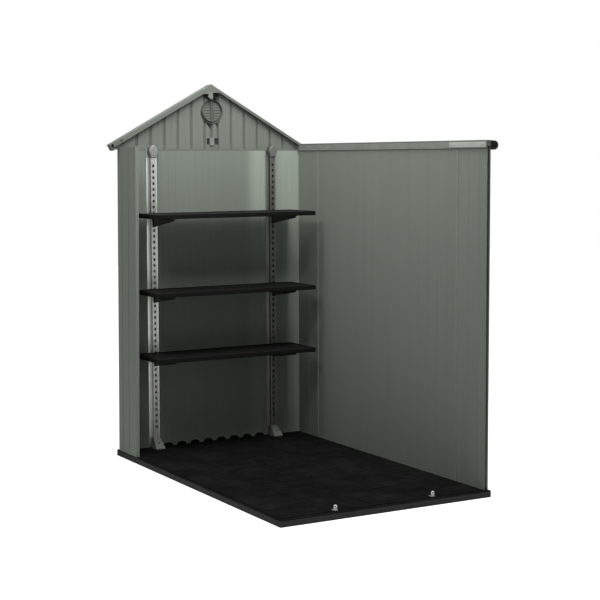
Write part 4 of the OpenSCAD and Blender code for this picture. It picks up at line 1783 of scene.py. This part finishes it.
        def open_cell(p: Vector, n: Vector) -> bool:
            """Whether an underside face lies in an open cell, away from the brackets.

            Args:
                p: the face's middle.
                n: its normal.

            Returns:
                Whether it is chosen.
            """
            if n.z > -FACING or not any(inside(p.y, *row) for row in rows):
                return False
            held = [s for s in spans if inside(p.x, *s)]
            return any(abs(abs(sum(s) / 2) - self.post_x) > cell / 2 + 0.014 for s in held)

        def tread(p: Vector, n: Vector) -> bool:
            """Whether a top face lies within the rim."""
            return n.z > FACING and abs(p.x) < x1 - rim and y0 + rim < p.y < y1 - rim

        low, taper = self.sunk
        shape.push(shape.pick(open_cell), (0, 0, thick - skin))
        shape.push(shape.pick(tread), (0, 0, -low), taper)
        shape.piece(f"shelf_{level}_board", SHELF, f"shelf_{level}")

    def bracket(self, level: str, z: float, side: Side) -> None:
        """One tapering bracket with a flange, a back plate and two hooks.

        Args:
            level: the name of the shelf on it.
            z: height of the shelf's underside.
            side: the side of the shed.
        """
        reach, tall, wide = self.arm
        x, y, half, top = side.value * self.post_x, self.face - GAP, self.arm_half, z - 0.0002
        low, behind = z - tall - 0.004, self.face + self.sheet
        tip = y - reach
        outline = [(y, top), (y, low), (y - 0.022, z - tall), (tip, z - 0.012), (tip, top)]
        arm = Shape()
        arm.prism(outline, Axis.X, x - half, x + half)
        arm.round_edges(0.0012, 2)
        arm.block((x - wide / 2, tip, z - 0.0032), (x + wide / 2, y, top))
        arm.block((x - 0.009, y - 0.003, low), (x + 0.009, y, top))
        for hook in (z - self.hook_drop, z - self.hook_drop - self.slot[2]):
            end = behind + 0.0036
            arm.block((x - half, y - 0.001, hook - 0.004), (x + half, end, hook + 0.005))
            arm.block((x - half, behind + 0.0006, hook - 0.012), (x + half, end, hook))
        arm.screw((x, y - 0.003, z - tall + 0.006), Axis.Y, -1, 0.0035)
        name = f"bracket_{level}_{side.label}"
        arm.piece(name + "_arm", PAINTED, name)

    def build(self) -> None:
        """Makes the uprights, their ends, the shelves and the brackets."""
        for side in Side:
            self.upright(side)
            self.end_cap(side)
            self.post_foot(side)
        for level, top in self.levels:
            self.shelf_board(level, top)
            for side in Side:
                self.bracket(level, top - self.shelf[2], side)


@dataclass
class Catches:
    """Two steel door catches on the front of the floor."""

    x: float = 0.272
    y: float = -0.872
    deck: float = 0.032
    plate: tuple = (0.024, 0.026, 0.0025)
    plate_front: float = 0.008
    tab: tuple = (0.018, 0.003, 0.027)
    hole: tuple = (0.004, 0.017)
    screw: tuple = (0.007, 0.010, 0.0026)

    def catch(self, side: Side) -> None:
        """One catch: a plate held by two screws, and an upright tab with a hole.

        Args:
            side: the side of the shed.
        """
        x, z, (wide, deep, thick) = side.value * self.x, self.deck, self.plate
        front, top = self.y - self.plate_front, z + thick
        shape = Shape()
        shape.block((x - wide / 2, front, z), (x + wide / 2, front + deep, top))
        half, depth, tall = self.tab[0] / 2, self.tab[1] / 2, self.tab[2]
        outline = [(x - half, z), (x + half, z)] + arc((x, z + tall - half), half, 0, 180, 12)
        radius, up = self.hole
        hole = arc((x, z + up), radius, 0, 360, 16)[:-1]
        shape.plate(outline, hole, Axis.Y, self.y - depth, self.y + depth)
        aside, behind, head = self.screw
        for dx in (-aside, aside):
            shape.screw((x + dx, self.y + behind, top), Axis.Z, 1, head)
        shape.piece(f"catch_{side.label}", ZINC, f"door_catch_{side.label}")

    def build(self) -> None:
        """Makes both catches."""
        for side in Side:
            self.catch(side)


# ---------- light, floor and camera ----------
@dataclass
class Studio:
    """Pale floor, soft lamps, even world light and the camera."""

    eye: tuple = (-3.7103, -6.4061, 1.6468)
    yaw: float = 0.4993
    pitch: float = -0.0924
    roll: float = -0.0062
    lens: float = 86.8
    shift: tuple = (0.0776, -0.0154)
    floor_half: float = 14.0
    floor_tone: float = 0.8
    floor_glow: tuple = (0.9, 2.6, 0.80)
    sides: tuple = (0.22, 0.05, 0.20, 0.20)
    aim: tuple = (0, 0.2, 0.8)
    lamp_size: float = 0.8
    lamps: tuple = (
        ("left_front", (-1.6, -0.9, 3.3), 20),
        ("left_rear", (-1.6, 0.4, 3.3), 13),
        ("middle_rear", (-0.3, 0.4, 3.3), 17.5),
        ("right_front", (0.30, -0.9, 3.3), 29),
        ("right_high", (0.30, -0.9, 4.6), 43),
    )

    def camera(self) -> None:
        """Places the camera from its heading, tilt and roll."""
        data = bpy.data.cameras.new("view")
        data.lens, data.sensor_width, data.clip_end = self.lens, 36.0, 100.0
        data.shift_x, data.shift_y = self.shift
        level = math.cos(self.pitch)
        forward = Vector(
            (math.sin(self.yaw) * level, math.cos(self.yaw) * level, math.sin(self.pitch))
        )
        across = forward.cross(Vector((0, 0, 1))).normalized()
        above = across.cross(forward)
        c, s = math.cos(self.roll), math.sin(self.roll)
        turn = Matrix((across * c + above * s, above * c - across * s, -forward)).transposed()
        camera = bpy.data.objects.new("view", data)
        camera.matrix_world = Matrix.Translation(self.eye) @ turn.to_4x4()
        bpy.context.scene.collection.objects.link(camera)
        bpy.context.scene.camera = camera

    def floor(self) -> None:
        """A plain pale floor that shows white and keeps soft shadows."""
        bm = bmesh.new()
        bmesh.ops.create_grid(bm, x_segments=1, y_segments=1, size=self.floor_half)
        mesh = bpy.data.meshes.new("studio_floor")
        bm.to_mesh(mesh)
        bm.free()
        floor = bpy.data.objects.new("studio_floor", mesh)
        bpy.context.scene.collection.objects.link(floor)
        material = bpy.data.materials.new("studio floor")
        material.use_nodes = True
        kit = Nodes(material.node_tree)
        grey = (self.floor_tone,) * 3 + (1,)
        diffuse = kit.node("ShaderNodeBsdfDiffuse", {}, {"Color": grey})
        x, y = kit.axis("X"), kit.axis("Y")
        near, far, glow = self.floor_glow
        strength = ((x * x + y * y) ** 0.5).ramp(near, far, glow, 1.0)
        white = kit.node("ShaderNodeEmission", {}, {"Color": (1, 1, 1, 1), "Strength": strength})
        both = kit.node("ShaderNodeAddShader", {}, {0: diffuse, 1: white})
        shader = kit.node("ShaderNodeMixShader", {}, {0: self.seen(kit), 1: diffuse, 2: both})
        kit.node("ShaderNodeOutputMaterial", {}, {"Surface": shader})
        mesh.materials.append(material)

    @staticmethod
    def seen(kit: Nodes) -> Sig:
        """One for rays that show the background: from the camera, in gloss and through glass.

        Args:
            kit: the node maker of the material or world.

        Returns:
            One or zero.
        """
        rays = [kit.node("ShaderNodeLightPath", out=f"Is {kind} Ray")
                for kind in ("Camera", "Glossy", "Transmission")]
        return rays[0].larger(rays[1]).larger(rays[2])

    def world(self) -> None:
        """White where it is seen, soft light from each side where it lights."""
        world = bpy.data.worlds.new("studio")
        world.use_nodes = True
        kit = Nodes(world.node_tree)
        direction = kit.node("ShaderNodeTexCoord", out="Generated")
        x, y = (kit.node("ShaderNodeSeparateXYZ", {}, {"Vector": direction}, out=name)
                for name in "XY")
        front, left, rear, right = self.sides
        level = (y * -1.0).larger(0.0) * front + (x * -1.0).larger(0.0) * left
        level = level + y.larger(0.0) * rear + x.larger(0.0) * right
        light, white = (
            kit.node("ShaderNodeBackground", {}, {"Color": (1, 1, 1, 1), "Strength": strength})
            for strength in (level, 1.0)
        )
        shader = kit.node("ShaderNodeMixShader", {}, {0: self.seen(kit), 1: light, 2: white})
        kit.node("ShaderNodeOutputWorld", {}, {"Surface": shader})
        bpy.context.scene.world = world

    def lamp(self, name: str, place: Point, power: float) -> None:
        """A soft square lamp that faces the shed.

        Args:
            name: its name.
            place: where it hangs.
            power: in watts.
        """
        data = bpy.data.lights.new(name, "AREA")
        data.shape, data.size, data.energy = "SQUARE", self.lamp_size, power
        lamp = bpy.data.objects.new(name, data)
        turn = (Vector(place) - Vector(self.aim)).to_track_quat("Z", "Y")
        lamp.matrix_world = Matrix.Translation(place) @ turn.to_matrix().to_4x4()
        bpy.context.scene.collection.objects.link(lamp)

    def build(self) -> None:
        """Sets the stage."""
        bpy.context.scene.view_settings.view_transform = "Standard"
        self.camera()
        self.floor()
        self.world()
        for lamp in self.lamps:
            self.lamp(*lamp)


def main() -> None:
    """Builds the scene and reports its pieces."""
    logging.basicConfig(level=logging.INFO, format="%(message)s")
    Studio().build()
    walls = Walls()
    gable = Gable(walls)
    for part in (Floor(), walls, gable, Eaves(walls, gable), Shelving(walls), Catches()):
        part.build()
    keep_flat(PIECES)


if __name__ == "__main__":
    main()
